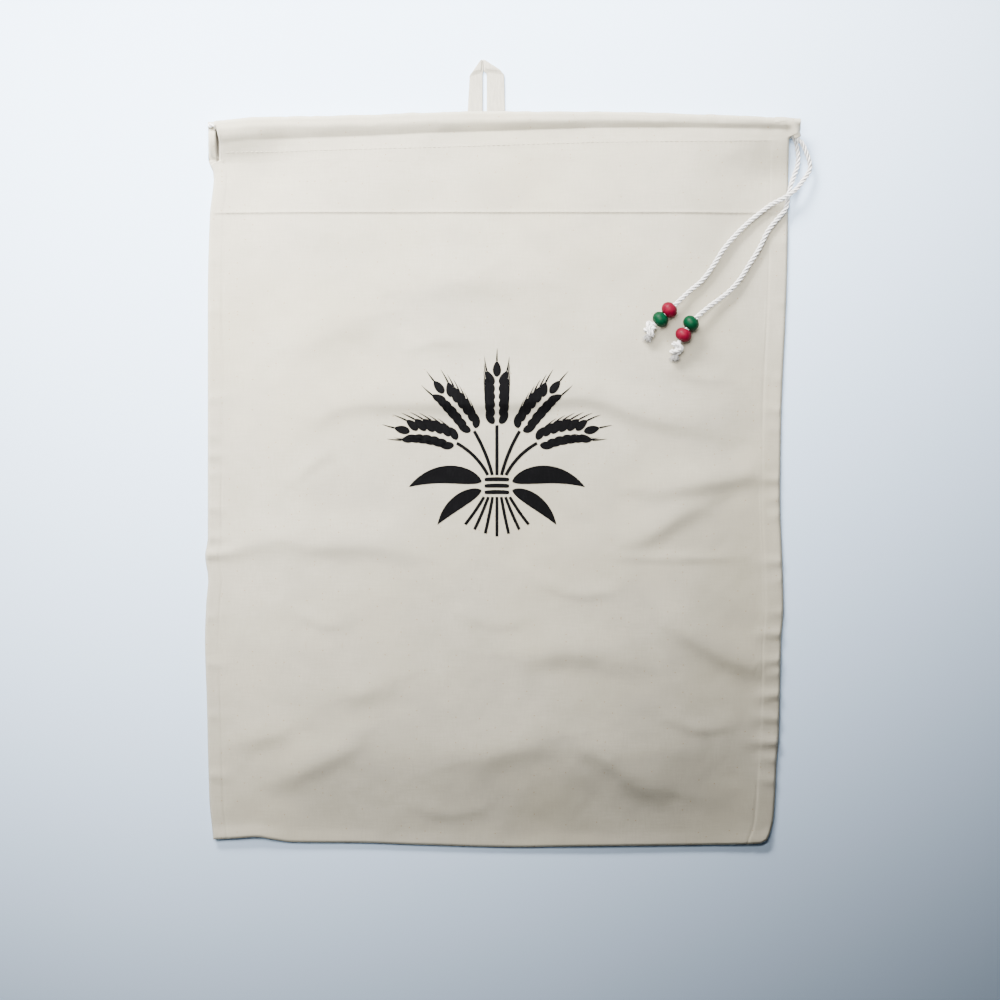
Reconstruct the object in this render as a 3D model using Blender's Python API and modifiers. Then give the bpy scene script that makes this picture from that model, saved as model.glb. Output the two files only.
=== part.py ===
"""Drawstring bread bag of natural cotton, lying flat on its back with its mouth towards +Y.

One length of cloth is folded at the bottom and sewn up both sides. Its deep hem is turned inside, and
its top edge holds the drawcord in a casing on the front and on the back. The cord goes in at the right,
round the left corner and out at the right again, and each free end carries two beads and a knot. A tape
loop to hang the bag by is sewn under the middle of the back casing.

Every table is in millimetres: +X is towards the right edge, +Y towards the mouth and +Z up from the
surface that the bag lies on.
"""
import math

import bmesh
import bpy
import numpy as np
from mathutils import Matrix, Vector

MM = 0.001

# The bag's frame has its origin at the middle of its outer box
FRAME_SHIFT = (0.7, 0.05, 0.0)

# Edges of the bag as it lies: (y, x) for the sides, (x, y) for the fold and the casing's centre line
LEFT_EDGE = (
    (-240, -176.5), (-235, -176.9), (-211, -179.3), (-150, -180.9), (-114, -182.0), (-91, -181.2),
    (-77, -180.0), (-62, -181.9), (-53, -180.3), (0, -180.3), (94, -180.3), (145, -179.0),
    (169, -176.6), (180, -180.0), (204, -180.0),
)
RIGHT_EDGE = (
    (-240, 159.5), (-235, 160.9), (-231, 162.6), (-224, 164.4), (-209, 165.6), (-188, 166.5),
    (-174, 167.8), (-142, 168.7), (-114, 169.3), (-95, 170.7), (-69, 170.1), (-28, 168.7),
    (17, 169.2), (57, 170.7), (76, 171.7), (117, 173.1), (144, 173.5), (204, 173.8),
)
BOTTOM_EDGE = (
    (-183, -235.3), (-177, -235.3), (-164, -234.7), (-150, -233.8), (-141, -235.3), (-128, -237.1),
    (-88, -237.4), (-51, -238.7), (10, -240.2), (35, -239.8), (89, -239.2), (131, -238.7),
    (156, -238.0), (162, -235.5), (174, -235.5),
)
CASING_LINE = (
    (-183, 199.2), (-178, 199.4), (-155, 201.2), (-92, 202.5), (-22, 204.7), (49, 204.7),
    (142, 202.4), (166, 201.5), (176, 201.4),
)
HEM_STITCH_Y = 146.3
CASING_DEPTH = 15.0
MOUTH_INSET = 0.45

# The front flap's left edge is drawn in beside the slit: (y, how far)
SLIT_INSET = ((-240, 0), (170, 0), (175, 0.6), (180, 7.0), (189, 7.0), (196, 6.4), (204, 6.0))

# Cloth thickness, and the heights of the front's inside and outside over the middle of the bag
BACK_WALL = 1.0
SEAM_INSIDE = 1.3
SEAM_OUTSIDE = 2.6
INSIDE_HEIGHT = 10.2
OUTSIDE_HEIGHT = 11.7
SIDE_RISE = 75.0
BOTTOM_RISE = 62.0
SEAM_INSET = 12.0
LEFT_SEAM_TOP = 176.0
RIGHT_SEAM_TOP = 165.0
HEM_STEP = 0.5
EDGE_ROUND = 0.8

# The rolled casings: radius of the roll, of its tunnel, and the cord in it
ROLL_RADIUS = 2.7
BACK_ROLL_RADIUS = 2.5
TUNNEL_RADIUS = 1.95
CORD_RADIUS = 1.5
BACK_ROLL_Z = 2.6
ROLL_LEFT_X = -177.5
ELBOW_START_X = 164.0
LEFT_DIP = 2.8
RIGHT_DIP = 1.5
DIP_REACH = 26.0

# Shoulder below the front roll: (x, where it starts to fall, where it meets the flat casing)
SHOULDER_DROP = 0.7
SHOULDER = (
    (-175, 2.6, 11.4), (-92, 3.8, 10.2), (-22, 3.7, 9.8), (48, 2.5, 7.4), (142, 0.6, 5.0), (174, 0.5, 4.0),
)
BACK_SHOULDER = (2.0, 9.0)

# How far the bottom edge stands off the surface: (x, height)
BOTTOM_LIFT = (
    (-182, 1.8), (-150, 2.4), (-128, 0.9), (-60, 0.5), (0, 0.3), (60, 0.8), (120, 0.5), (165, 1.6),
)
BOTTOM_LIFT_REACH = 9.0

# Folds of the front: height, reach of the slope above, reach of the slope below, points of the crest
FOLDS = (
    (2.2, 15, 8, ((-125, 7), (-113, 20), (-97, 29), (-72, 31), (-41, 31), (5, 31), (30, 34), (59, 33),
                  (79, 25), (99, 19), (120, 15), (144, 8))),
    (1.3, 18, 13, ((-63, 98), (-39, 104), (-2, 106), (28, 101))),
    (1.2, 16, 12, ((-133, 62), (-106, 75), (-78, 82))),
    (1.8, 14, 9, ((-180, -57), (-157, -55), (-133, -52), (-112, -56), (-91, -55), (-69, -57), (-48, -64))),
    (1.8, 12, 8, ((80, -24), (114, -19), (144, -14), (169, -7))),
    (1.6, 12, 8, ((72, -58), (94, -46), (110, -36), (128, -30))),
    (2.0, 13, 9, ((96, -98), (120, -115), (141, -126), (167, -133))),
    (1.5, 15, 10, ((0, -124), (16, -123), (47, -121), (83, -131))),
    (1.6, 13, 9, ((41, -174), (62, -185), (83, -202), (102, -208))),
    (1.4, 15, 11, ((-22, -188), (-14, -185), (10, -178), (34, -174))),
    (1.5, 12, 9, ((-142, -202), (-136, -199), (-96, -180), (-84, -172))),
    (1.2, 12, 9, ((-97, -150), (-80, -143), (-63, -138))),
    (1.3, 12, 9, ((-162, -178), (-145, -171), (-127, -168))),
)
FOLD_EDGE = 22.0

# Grid of the outer form: pitch, rows beside an edge, and rows from the casing's stitches to its line
FRONT_PITCH = 12.0
EDGE_STEPS = (0.0, 1.3, 4.0, 9.0)
CASING_STEPS = (0.0, 1.3, 3.8, 6.3, 8.8, 11.0, 13.0, 15.0)

# Grid of the inside: its columns from left to right, and its rows up from its lower end
INSIDE_COLUMNS = (
    0, 5, 12, 22, 34, 46, 57, 67, 76, 102, 128, 138, 148, 170, 192, 202, 212, 243, 274, 283, 293, 304, 316,
    328, 338, 345, 350,
)
INSIDE_ROWS = (
    0, 5, 12, 22, 34, 46, 57, 66, 120, 180, 240, 300, 344, 360, 372, 384, 392, 400, 405, 408, 413, 417, 421,
    424, 427, 434,
)

# The tape loop: its outline, its mitred flaps and its thickness
LOOP_X = -10.5
LOOP_THICKNESS = 1.25
LOOP_FLAP_TOP = 2.3
LOOP_OUTLINE = (
    (-22.0, 186.0), (-21.8, 210.0), (-20.6, 230.5), (-17.2, 235.0), (-14.3, 239.3), (-13.2, 240.1),
    (-11.3, 240.1), (-9.1, 238.4), (-2.3, 234.2), (0.5, 230.8), (0.9, 208.8), (0.9, 186.0),
    (-10.2, 186.0), (-10.2, 230.8), (-12.5, 230.8), (-12.5, 186.0),
)
LOOP_FLAPS = (
    ((-20.0, 230.9), (-14.2, 238.6), (-13.1, 239.4), (-13.1, 232.0)),
    ((-10.9, 239.3), (-9.4, 238.0), (-2.6, 233.8), (-0.2, 231.2), (-10.9, 232.0)),
)
LOOP_LIFT = 1.65
LOOP_LIFT_FLAT = 23.0
LOOP_LIFT_FALL = 20.0
MOUTH_LIFT_FALL = 60.0
ROLL_SINK = 0.25
LOOP_LIFT_Y = (158.0, 172.0)

# The drawcord's three strands, and the route of each free end
STRAND_PITCH = 9.3
RING_TURN = math.radians(40.0)
CREST_RADIUS = 1.5
VALLEY_RADIUS = 1.08
MEETING_GAP = 0.35
TAIL_LEAD = 1.6
UPPER_ELBOW = (
    (169.3, 201.4, 11.4), (172.3, 201.2, 11.1), (174.5, 200.5, 10.7), (175.9, 199.3, 10.3),
    (176.6, 198.1, 10.0), (177.6, 195.4, 9.5), (178.7, 192.3, 9.0),
)
LOWER_ELBOW = ((168.7, 200.9, 2.6), (171.1, 200.0, 2.6), (172.8, 198.1, 2.6), (173.8, 195.7, 2.6))
UPPER_TAIL = (
    (181.5, 188.7, 7.6), (184.5, 182.6, 6.3), (186.4, 177.1, 5.5), (186.5, 172.8, 5.3), (184.8, 169.2, 5.8),
    (182.4, 165.8, 6.7), (178.7, 161.1, 7.8), (174.0, 157.4, 8.3), (168.4, 154.1, 7.4), (164.7, 152.3, 6.6),
    (156.7, 146.6, 6.2), (148.8, 140.1, 7.0), (140.8, 132.2, 8.3), (133.4, 123.3, 9.8),
    (126.9, 113.0, 10.9), (120.4, 104.6, 12.0), (112.9, 98.2, 13.8), (105.9, 91.6, 15.9),
    (100.6, 86.9, 16.9), (95.2, 81.1, 16.9),
)
LOWER_TAIL = (
    (177.2, 191.7, 2.2), (179.3, 184.4, 1.9), (179.6, 177.7, 1.9), (178.9, 174.0, 2.2), (177.2, 169.2, 3.2),
    (175.1, 163.1, 4.5), (173.4, 155.7, 4.7), (171.7, 148.5, 4.6), (167.9, 143.8, 4.8), (160.9, 135.0, 5.4),
    (156.3, 125.7, 6.0), (148.8, 113.5, 7.1), (142.3, 103.7, 8.3), (134.3, 95.8, 10.0),
    (128.5, 91.6, 11.7), (121.5, 86.1, 14.2), (113.8, 78.8, 16.2), (109.2, 71.7, 16.6),
)

# Beads and knots: where their middle is, and the way the cord leaves them
BEAD_RADIUS = 4.9
BEAD_BORE = 1.95
BEAD_HALF = 3.75
BEAD_PROFILE = (
    (BEAD_BORE, 0.93), (2.6, 1.0), (3.7, 0.85), (4.55, 0.52), (BEAD_RADIUS, 0.0),
    (4.55, -0.52), (3.7, -0.85), (2.6, -1.0), (BEAD_BORE, -0.93),
)
BEAD_SIDES = 18
BEADS = (
    ("bead_red_upper", (100.6, 86.9, 16.9), "red"),
    ("bead_green_upper", (95.2, 81.1, 16.9), "green"),
    ("bead_green_lower", (113.8, 78.8, 16.2), "green"),
    ("bead_red_lower", (109.2, 71.7, 16.6), "red"),
)
KNOTS = (
    ("knot_upper", (89.0, 75.4, 15.9), (-0.60, -0.79, -0.14)),
    ("knot_lower", (105.0, 63.6, 15.7), (-0.44, -0.89, -0.14)),
)
KNOT_WRAPS = ((-2.1, 1.9, 1.6, 13.0), (1.9, 2.1, 1.65, -15.0))
KNOT_BACK = 4.6
KNOT_TUFT = (2.5, 11.0, 1.1, 2.1)
KNOT_VOXEL = 0.5
KNOT_KEEP = 0.22


def clear_scene():
    """Take every object out of the scene."""
    for thing in list(bpy.data.objects):
        bpy.data.objects.remove(thing, do_unlink=True)


def new_collection(name):
    """A collection in the scene, by name."""
    group = bpy.data.collections.new(name)
    bpy.context.scene.collection.children.link(group)
    return group


def new_material(name, colour, roughness):
    """A Principled material of one colour."""
    finish = bpy.data.materials.new(name)
    finish.use_nodes = True
    shader = finish.node_tree.nodes["Principled BSDF"]
    shader.inputs["Base Color"].default_value = (*colour, 1.0)
    shader.inputs["Roughness"].default_value = roughness
    shader.inputs["Metallic"].default_value = 0.0
    return finish


def smooth_step(value):
    """0 below 0, 1 above 1, and a soft rise between."""
    value = np.clip(value, 0.0, 1.0)
    return value * value * (3.0 - 2.0 * value)


def through(at, places, values, slopes):
    """The value at each place on a smooth curve through the table's rows, with its slope at each row."""
    at = np.clip(at, places[0], places[-1])
    row = np.clip(np.searchsorted(places, at, side="right") - 1, 0, len(places) - 2)
    step = places[row + 1] - places[row]
    t = (at - places[row]) / step
    start = values[row] * (1 + 2 * t) * (1 - t) ** 2 + slopes[row] * step * t * (1 - t) ** 2
    end = values[row + 1] * t * t * (3 - 2 * t) - slopes[row + 1] * step * t * t * (1 - t)
    return start + end


def along(at, table):
    """The value at each place of a two-column table, never beyond its rows' own values."""
    places, values = np.array(table, float).T
    rise = np.diff(values) / np.diff(places)
    before, after = rise[:-1], rise[1:]
    same_way = before * after > 0
    slopes = np.concatenate((rise[:1], np.where(same_way, 2 * before * after, 0.0), rise[-1:]))
    slopes[1:-1] /= np.where(same_way, before + after, 1.0)
    return through(at, places, values, slopes)


def smooth_line(points, spacing):
    """Points about 'spacing' apart on one smooth curve through the given ones."""
    points = np.asarray(points, float)
    travel = np.concatenate(([0.0], np.cumsum(np.linalg.norm(np.diff(points, axis=0), axis=1))))
    fine = np.linspace(0.0, travel[-1], 40 * len(points))
    curve = np.column_stack([through(fine, travel, row, np.gradient(row, travel)) for row in points.T])
    length = np.concatenate(([0.0], np.cumsum(np.linalg.norm(np.diff(curve, axis=0), axis=1))))
    stops = np.linspace(0.0, length[-1], max(2, round(length[-1] / spacing) + 1))
    return np.column_stack([np.interp(stops, length, column) for column in curve.T])


def fold_height(x, y):
    """Height of all folds at each point: a soft ridge along each crest, steeper on its lower side."""
    total = np.zeros_like(x)
    for height, above, below, crest in FOLDS:
        line = smooth_line(crest, 6.0)
        gap_x = x[..., None] - line[:, 0]
        gap_y = y[..., None] - line[:, 1]
        nearest = np.argmin(gap_x**2 + gap_y**2, axis=-1)
        heading = np.gradient(line, axis=0)[nearest]
        off_x = np.take_along_axis(gap_x, nearest[..., None], -1)[..., 0]
        off_y = np.take_along_axis(gap_y, nearest[..., None], -1)[..., 0]
        side = heading[..., 0] * off_y - heading[..., 1] * off_x
        reach = np.where(side > 0, above, below)
        share = nearest / (len(line) - 1)
        ends = 1.0 - np.abs(2.0 * share - 1.0) ** 3
        total += height * ends * np.exp(-(off_x**2 + off_y**2) / reach**2)
    return total


def dome(x, y):
    """0 at the seams and the bottom fold, 1 over the middle and at the mouth."""
    casing = along(x, CASING_LINE)
    left = smooth_step((x - along(y, LEFT_EDGE)) / SIDE_RISE)
    right = smooth_step((along(y, RIGHT_EDGE) - x) / SIDE_RISE)
    open_left = smooth_step((y - LEFT_SEAM_TOP) / (casing - 6.0 - LEFT_SEAM_TOP))
    open_right = smooth_step((y - RIGHT_SEAM_TOP) / (casing - 6.0 - RIGHT_SEAM_TOP))
    sides = (1 - (1 - left) * (1 - open_left)) * (1 - (1 - right) * (1 - open_right))
    return sides * smooth_step((y - along(x, BOTTOM_EDGE)) / BOTTOM_RISE)


def loop_lift(x, fall=LOOP_LIFT_FALL):
    """The loop's legs lift the casings over them."""
    return LOOP_LIFT * (1 - smooth_step((np.abs(x - LOOP_X) - LOOP_LIFT_FLAT) / fall))


def mouth_lift(x):
    """How the front casing rises over the loop and dips at both ends."""
    left = 1 - smooth_step((x - ROLL_LEFT_X) / DIP_REACH)
    right = 1 - smooth_step((ELBOW_START_X + 10.0 - x) / DIP_REACH)
    return loop_lift(x, MOUTH_LIFT_FALL) - LEFT_DIP * left - RIGHT_DIP * right


def near_mouth(x, y):
    """1 at the casing, 0 from 60 mm below it."""
    return 1 - smooth_step((along(x, CASING_LINE) - y) / 60.0)


def shoulder(below, start, end):
    """1 from the roll's crest to 'start', falling to 0 at 'end' with a crease there."""
    t = np.clip((below - start) / (end - start), 0.0, 1.0)
    return 0.5 * np.cos(0.5 * math.pi * t) + 0.5 * (1 - t)


def underside_lift(x, y):
    """How far the back's underside stands off the surface over the loop's legs."""
    low, high = LOOP_LIFT_Y
    return loop_lift(x) * smooth_step((y - low) / (high - low))


def outside_front(x, y):
    """Height of the front's outer face."""
    below = along(x, CASING_LINE) - y
    places, starts, ends = zip(*SHOULDER)
    rounded = shoulder(below, np.interp(x, places, starts), np.interp(x, places, ends))
    roll_top = INSIDE_HEIGHT + 2 * ROLL_RADIUS - SHOULDER_DROP
    rise = dome(x, y)
    edge = np.minimum(x - along(y, LEFT_EDGE), along(y, RIGHT_EDGE) - x)
    edge = np.minimum(edge, y - along(x, BOTTOM_EDGE))
    height = SEAM_OUTSIDE + (OUTSIDE_HEIGHT - SEAM_OUTSIDE) * rise
    height += mouth_lift(x) * near_mouth(x, y) * rise
    height += fold_height(x, y) * (0.25 + 0.75 * smooth_step(edge / FOLD_EDGE))
    height += (roll_top - OUTSIDE_HEIGHT) * rounded
    height += HEM_STEP * smooth_step((y - HEM_STITCH_Y + 0.8) / 1.6) * smooth_step(edge / 6.0)
    return height


def inside_front(x, y):
    """Height of the front's inner face."""
    rise = dome(x, y)
    height = SEAM_INSIDE + (INSIDE_HEIGHT - SEAM_INSIDE) * rise
    return height + mouth_lift(x) * near_mouth(x, y) * rise


def inside_back(x, y):
    """Height of the back's inner face, up to the back roll, which has no shoulder beyond its ends."""
    below = along(x, CASING_LINE) - y
    held = smooth_step((x - ROLL_LEFT_X - 1.5) / 10.0) * smooth_step((ELBOW_START_X - x) / 10.0)
    wedge = BACK_ROLL_Z + BACK_ROLL_RADIUS - BACK_WALL - SHOULDER_DROP
    return BACK_WALL + underside_lift(x, y) + wedge * held * shoulder(below, *BACK_SHOULDER)


def edge_rows(length, pitch):
    """Distances from one edge to the other: close rows at both edges, even ones between."""
    steps = np.array(EDGE_STEPS)
    count = round((length - 2 * steps[-1]) / pitch)
    middle = np.linspace(steps[-1], length - steps[-1], count + 1)
    return np.concatenate((steps[:-1], middle, length - steps[-2::-1]))


def bag_plan(columns, rows):
    """Plan position of each grid point, from distances right of the left edge and up from the fold.

    Below the hem's stitches the rows share out the height from the fold to the stitches, and above them
    the height from the stitches to the casing's centre line.
    """
    width = 350.0
    share, up = np.meshgrid(columns / columns[-1], rows)
    guide = along(0.0, LEFT_EDGE) + width * share
    fold = along(guide, BOTTOM_EDGE)
    casing = along(guide, CASING_LINE) - MOUTH_INSET
    hem = HEM_STITCH_Y - along(0.0, BOTTOM_EDGE)
    whole = along(0.0, CASING_LINE) - MOUTH_INSET - along(0.0, BOTTOM_EDGE)
    lower = fold + (HEM_STITCH_Y - fold) * up / hem
    upper = HEM_STITCH_Y + (casing - HEM_STITCH_Y) * (up - hem) / (whole - hem)
    y = np.where(up < hem, lower, upper)
    left = along(y, LEFT_EDGE)
    right = along(y, RIGHT_EDGE)
    return left, right, share, y


def two_faced(name, low, high, group):
    """A closed solid between two grids of points, made by extruding a grid and moving its points."""
    rows, columns = low.shape[:2]
    shape = bmesh.new()
    bmesh.ops.create_grid(shape, x_segments=columns - 1, y_segments=rows - 1, size=0.5)
    for point in shape.verts:
        point.co = (round((point.co.x + 0.5) * (columns - 1)), round((point.co.y + 0.5) * (rows - 1)), 0)
    raised = bmesh.ops.extrude_face_region(shape, geom=shape.faces[:])["geom"]
    upper = {item for item in raised if isinstance(item, bmesh.types.BMVert)}
    for point in shape.verts:
        column, row = int(point.co.x), int(point.co.y)
        point.co = (high if point in upper else low)[row, column] * MM
    bmesh.ops.recalc_face_normals(shape, faces=shape.faces[:])
    mesh = bpy.data.meshes.new(name)
    shape.to_mesh(mesh)
    shape.free()
    thing = bpy.data.objects.new(name, mesh)
    group.objects.link(thing)
    return thing


def bag_blank(group):
    """The bag's outer form as one solid, still without its inside."""
    hem = HEM_STITCH_Y - along(0.0, BOTTOM_EDGE)
    whole = along(0.0, CASING_LINE) - MOUTH_INSET - along(0.0, BOTTOM_EDGE)
    columns = edge_rows(350.0, FRONT_PITCH)
    lower = edge_rows(hem, FRONT_PITCH)[:-3]
    hem_rows = np.array((hem - 0.8, hem + 0.8))
    panel = np.linspace(hem + 0.8, whole - CASING_DEPTH - 1.3, 5)[1:]
    casing = whole - CASING_DEPTH + np.array(CASING_STEPS)
    rows = np.concatenate((lower, hem_rows, panel, casing))
    left, right, share, y = bag_plan(columns, rows)
    inset = along(y, SLIT_INSET)
    x_low = left + (right - left) * share
    x_high = left + inset + (right - left - inset) * share
    edge = np.minimum(x_low - left, right - x_low)
    edge = np.minimum(edge, y - along(x_low, BOTTOM_EDGE))
    rounding = EDGE_ROUND * (1 - smooth_step(edge / 1.2))
    hang = along(x_low, BOTTOM_LIFT) * (1 - smooth_step((y - along(x_low, BOTTOM_EDGE)) / BOTTOM_LIFT_REACH))
    z_low = underside_lift(x_low, y) + rounding + hang
    z_high = outside_front(x_high, y) - rounding + hang
    low = np.dstack((x_low, y, z_low))
    high = np.dstack((x_high, y, z_high))
    return two_faced("bag_body", low, high, group)


def bag_inside(group):
    """Cutter for the bag's inside, open at the mouth and at the slit beside each casing end."""
    rows = SEAM_INSET + np.array(INSIDE_ROWS, float)
    left, right, share, y = bag_plan(np.array(INSIDE_COLUMNS, float), rows)
    sewn_left = 1 - smooth_step((y - LEFT_SEAM_TOP) / 4.0)
    sewn_right = 1 - smooth_step((y - RIGHT_SEAM_TOP) / 4.0)
    left = left - 6.0 + (6.0 + SEAM_INSET) * sewn_left
    right = right + 6.0 - (6.0 + SEAM_INSET) * sewn_right
    x = left + (right - left) * share
    low = np.dstack((x, y, inside_back(x, y)))
    high = np.dstack((x, y, np.maximum(inside_front(x, y), inside_back(x, y) + 0.2)))
    return two_faced("bag_inside_cutter", low, high, group)


def front_route():
    """Centre of the front casing and its cord, from the elbow's mouth to the roll's left end."""
    x = np.linspace(ELBOW_START_X, ROLL_LEFT_X, 30)
    z = INSIDE_HEIGHT - ROLL_SINK + ROLL_RADIUS + mouth_lift(x)
    straight = np.column_stack((x, along(x, CASING_LINE), z))
    elbow = smooth_line(np.vstack((straight[:1], UPPER_ELBOW)), 1.5)
    return np.vstack((elbow[::-1], straight[1:]))


def back_route():
    """Centre of the back casing and its cord, from the roll's left end to the elbow's mouth."""
    x = np.linspace(ROLL_LEFT_X, ELBOW_START_X, 32)
    straight = np.column_stack((x, along(x, CASING_LINE), BACK_ROLL_Z + loop_lift(x)))
    elbow = smooth_line(np.vstack((straight[-1:], LOWER_ELBOW)), 1.5)
    return np.vstack((straight[:-1], elbow))


def corner_turn(front, back):
    """The cord's half turn round the left corner, from the front casing's end to the back one's."""
    radius = 0.5 * (front[2] - back[2])
    angles = np.linspace(0.0, math.pi, 11)[1:-1]
    x = front[0] - radius * np.sin(angles)
    z = 0.5 * (front[2] + back[2]) + radius * np.cos(angles)
    y = np.linspace(front[1], back[1], 11)[1:-1]
    return np.column_stack((x, y, z))


def lengthened(route, reach):
    """The same route with both ends run straight on."""
    first = route[0] + (route[0] - route[1]) / np.linalg.norm(route[0] - route[1]) * reach
    last = route[-1] + (route[-1] - route[-2]) / np.linalg.norm(route[-1] - route[-2]) * reach
    return np.vstack((first, route, last))


def shortened(route, start, end):
    """The same route with a little taken off its first and last stretch."""
    route = route.copy()
    route[0] += (route[1] - route[0]) / np.linalg.norm(route[1] - route[0]) * start
    route[-1] += (route[-2] - route[-1]) / np.linalg.norm(route[-2] - route[-1]) * end
    return route


def tube(name, route, radius, resolution, group, swell=None):
    """A round tube along a route, as a curve with filled caps."""
    curve = bpy.data.curves.new(name, "CURVE")
    curve.dimensions = "3D"
    curve.bevel_depth = radius * MM
    curve.bevel_resolution = resolution
    curve.use_fill_caps = True
    spline = curve.splines.new("POLY")
    spline.points.add(len(route) - 1)
    for index, place in enumerate(route):
        spline.points[index].co = (*(place * MM), 1.0)
        spline.points[index].radius = 1.0 if swell is None else swell[index]
    thing = bpy.data.objects.new(name, curve)
    group.objects.link(thing)
    return thing


def as_mesh(curve_thing):
    """The same tube as a closed mesh, so that a Boolean can use it."""
    name = curve_thing.name
    group = curve_thing.users_collection[0]
    bpy.context.view_layer.update()
    evaluated = curve_thing.evaluated_get(bpy.context.evaluated_depsgraph_get())
    mesh = bpy.data.meshes.new_from_object(evaluated)
    shape = bmesh.new()
    shape.from_mesh(mesh)
    bmesh.ops.remove_doubles(shape, verts=shape.verts[:], dist=0.00001)
    bmesh.ops.recalc_face_normals(shape, faces=shape.faces[:])
    shape.to_mesh(mesh)
    shape.free()
    solid = bpy.data.objects.new(name, mesh)
    solid.matrix_world = curve_thing.matrix_world
    bpy.data.objects.remove(curve_thing, do_unlink=True)
    solid.name = name
    group.objects.link(solid)
    return solid


def use_as_cutter(thing):
    """Keep a cutter out of the finished object."""
    thing.hide_render = True
    thing.display_type = "WIRE"


def combine(thing, other, operation):
    """Cut or join another solid with an exact Boolean."""
    use_as_cutter(other)
    step = thing.modifiers.new(f"{operation.lower()} {other.name}", "BOOLEAN")
    step.operation = operation
    step.solver = "EXACT"
    step.object = other
    tidy = thing.modifiers.new(f"join points after {other.name}", "WELD")
    tidy.merge_threshold = 0.00001


def gathered(count):
    """Uneven swelling of the front roll, where its cloth is gathered on the cord."""
    return 1.0 + 0.07 * np.random.default_rng(3).uniform(-1.0, 0.4, count)


def make_bag(group, cutters, cotton):
    """The sewn cloth: outer form, inside, two rolled casings and their tunnels."""
    bag = bag_blank(group)
    bag.data.materials.append(cotton)
    combine(bag, bag_inside(cutters), "DIFFERENCE")
    front = front_route()
    back = back_route()
    for name, route, radius, swell in (
        ("front", front, ROLL_RADIUS, gathered(len(front))),
        ("back", back, BACK_ROLL_RADIUS, None),
    ):
        roll = as_mesh(tube(f"{name}_roll", route, radius, 3, cutters, swell))
        tunnel = as_mesh(tube(f"{name}_tunnel", lengthened(route, 4.0), TUNNEL_RADIUS, 2, cutters))
        combine(bag, roll, "UNION")
        combine(bag, tunnel, "DIFFERENCE")
    flatten = bag.modifiers.new("merge flat faces", "DECIMATE")
    flatten.decimate_type = "DISSOLVE"
    flatten.angle_limit = math.radians(0.03)
    return bag


def slab(name, outline, low, high, group):
    """A flat outline as a plate between two heights."""
    shape = bmesh.new()
    base = shape.faces.new([shape.verts.new((x * MM, y * MM, low * MM)) for x, y in outline])
    raised = bmesh.ops.extrude_face_region(shape, geom=[base])["geom"]
    upper = [item for item in raised if isinstance(item, bmesh.types.BMVert)]
    bmesh.ops.translate(shape, verts=upper, vec=(0.0, 0.0, (high - low) * MM))
    bmesh.ops.recalc_face_normals(shape, faces=shape.faces[:])
    mesh = bpy.data.meshes.new(name)
    shape.to_mesh(mesh)
    shape.free()
    thing = bpy.data.objects.new(name, mesh)
    group.objects.link(thing)
    return thing


def make_loop(group, cutters, cotton):
    """The hanging loop: two legs side by side, and the two folded flaps of its mitred point."""
    loop = slab("hanging_loop", LOOP_OUTLINE, 0.0, LOOP_THICKNESS, group)
    loop.data.materials.append(cotton)
    for index, outline in enumerate(LOOP_FLAPS):
        flap = slab(f"loop_flap_{index + 1}", outline, LOOP_THICKNESS - 0.2, LOOP_FLAP_TOP, cutters)
        combine(loop, flap, "UNION")
    return loop


def strand_section(group):
    """Cross-section of the twisted cord: three crests and three valleys."""
    curve = bpy.data.curves.new("strand_section", "CURVE")
    curve.dimensions = "2D"
    spline = curve.splines.new("POLY")
    spline.points.add(5)
    spline.use_cyclic_u = True
    for index in range(6):
        reach = (CREST_RADIUS, VALLEY_RADIUS)[index % 2] * MM
        angle = math.radians(-60.0 * index)
        spline.points[index].co = (reach * math.cos(angle), reach * math.sin(angle), 0.0, 1.0)
    thing = bpy.data.objects.new("strand_section", curve)
    use_as_cutter(thing)
    group.objects.link(thing)
    return thing


def twisted_tail(name, route, section, cotton, group):
    """One free end of the drawcord, with its three strands turning once in each pitch."""
    spacing = STRAND_PITCH * RING_TURN / (2 * math.pi)
    rings = smooth_line(route, spacing)
    curve = bpy.data.curves.new(name, "CURVE")
    curve.dimensions = "3D"
    curve.bevel_mode = "OBJECT"
    curve.bevel_object = section
    curve.use_fill_caps = True
    curve.twist_mode = "MINIMUM"
    spline = curve.splines.new("POLY")
    spline.points.add(len(rings) - 1)
    for index, place in enumerate(rings):
        spline.points[index].co = (*(place * MM), 1.0)
        spline.points[index].tilt = index * RING_TURN
    curve.materials.append(cotton)
    thing = bpy.data.objects.new(name, curve)
    group.objects.link(thing)
    return thing


def make_cord(group, cutters, cotton):
    """The drawcord: its held stretch and its two free ends, which meet it face to face."""
    front = front_route()
    back = back_route()
    held = np.vstack((front, corner_turn(front[-1], back[0]), back))
    held = shortened(held, MEETING_GAP, MEETING_GAP)
    drawcord = tube("drawcord_held", held, CORD_RADIUS, 2, group)
    drawcord.data.materials.append(cotton)
    section = strand_section(cutters)
    for name, start, before, tail, knot in (
        ("cord_tail_upper", front[0], front[1], UPPER_TAIL, KNOTS[0]),
        ("cord_tail_lower", back[-1], back[-2], LOWER_TAIL, KNOTS[1]),
    ):
        middle = np.array(knot[1])
        onward = start + (start - before) / np.linalg.norm(start - before) * TAIL_LEAD
        route = np.vstack((start, onward, tail, middle))
        route[-1] += (route[-2] - middle) / np.linalg.norm(route[-2] - middle) * KNOT_BACK
        twisted_tail(name, route, section, cotton, group)


def turned_to(axis):
    """Rotation that takes +Z to an axis."""
    return Vector((0.0, 0.0, 1.0)).rotation_difference(Vector(axis)).to_matrix().to_4x4()


def cord_heading(route, place):
    """The cord's direction where it passes a place."""
    line = smooth_line(route, 0.5)
    nearest = int(np.argmin(np.linalg.norm(line - np.array(place), axis=1)))
    return np.gradient(line, axis=0)[nearest]


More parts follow.
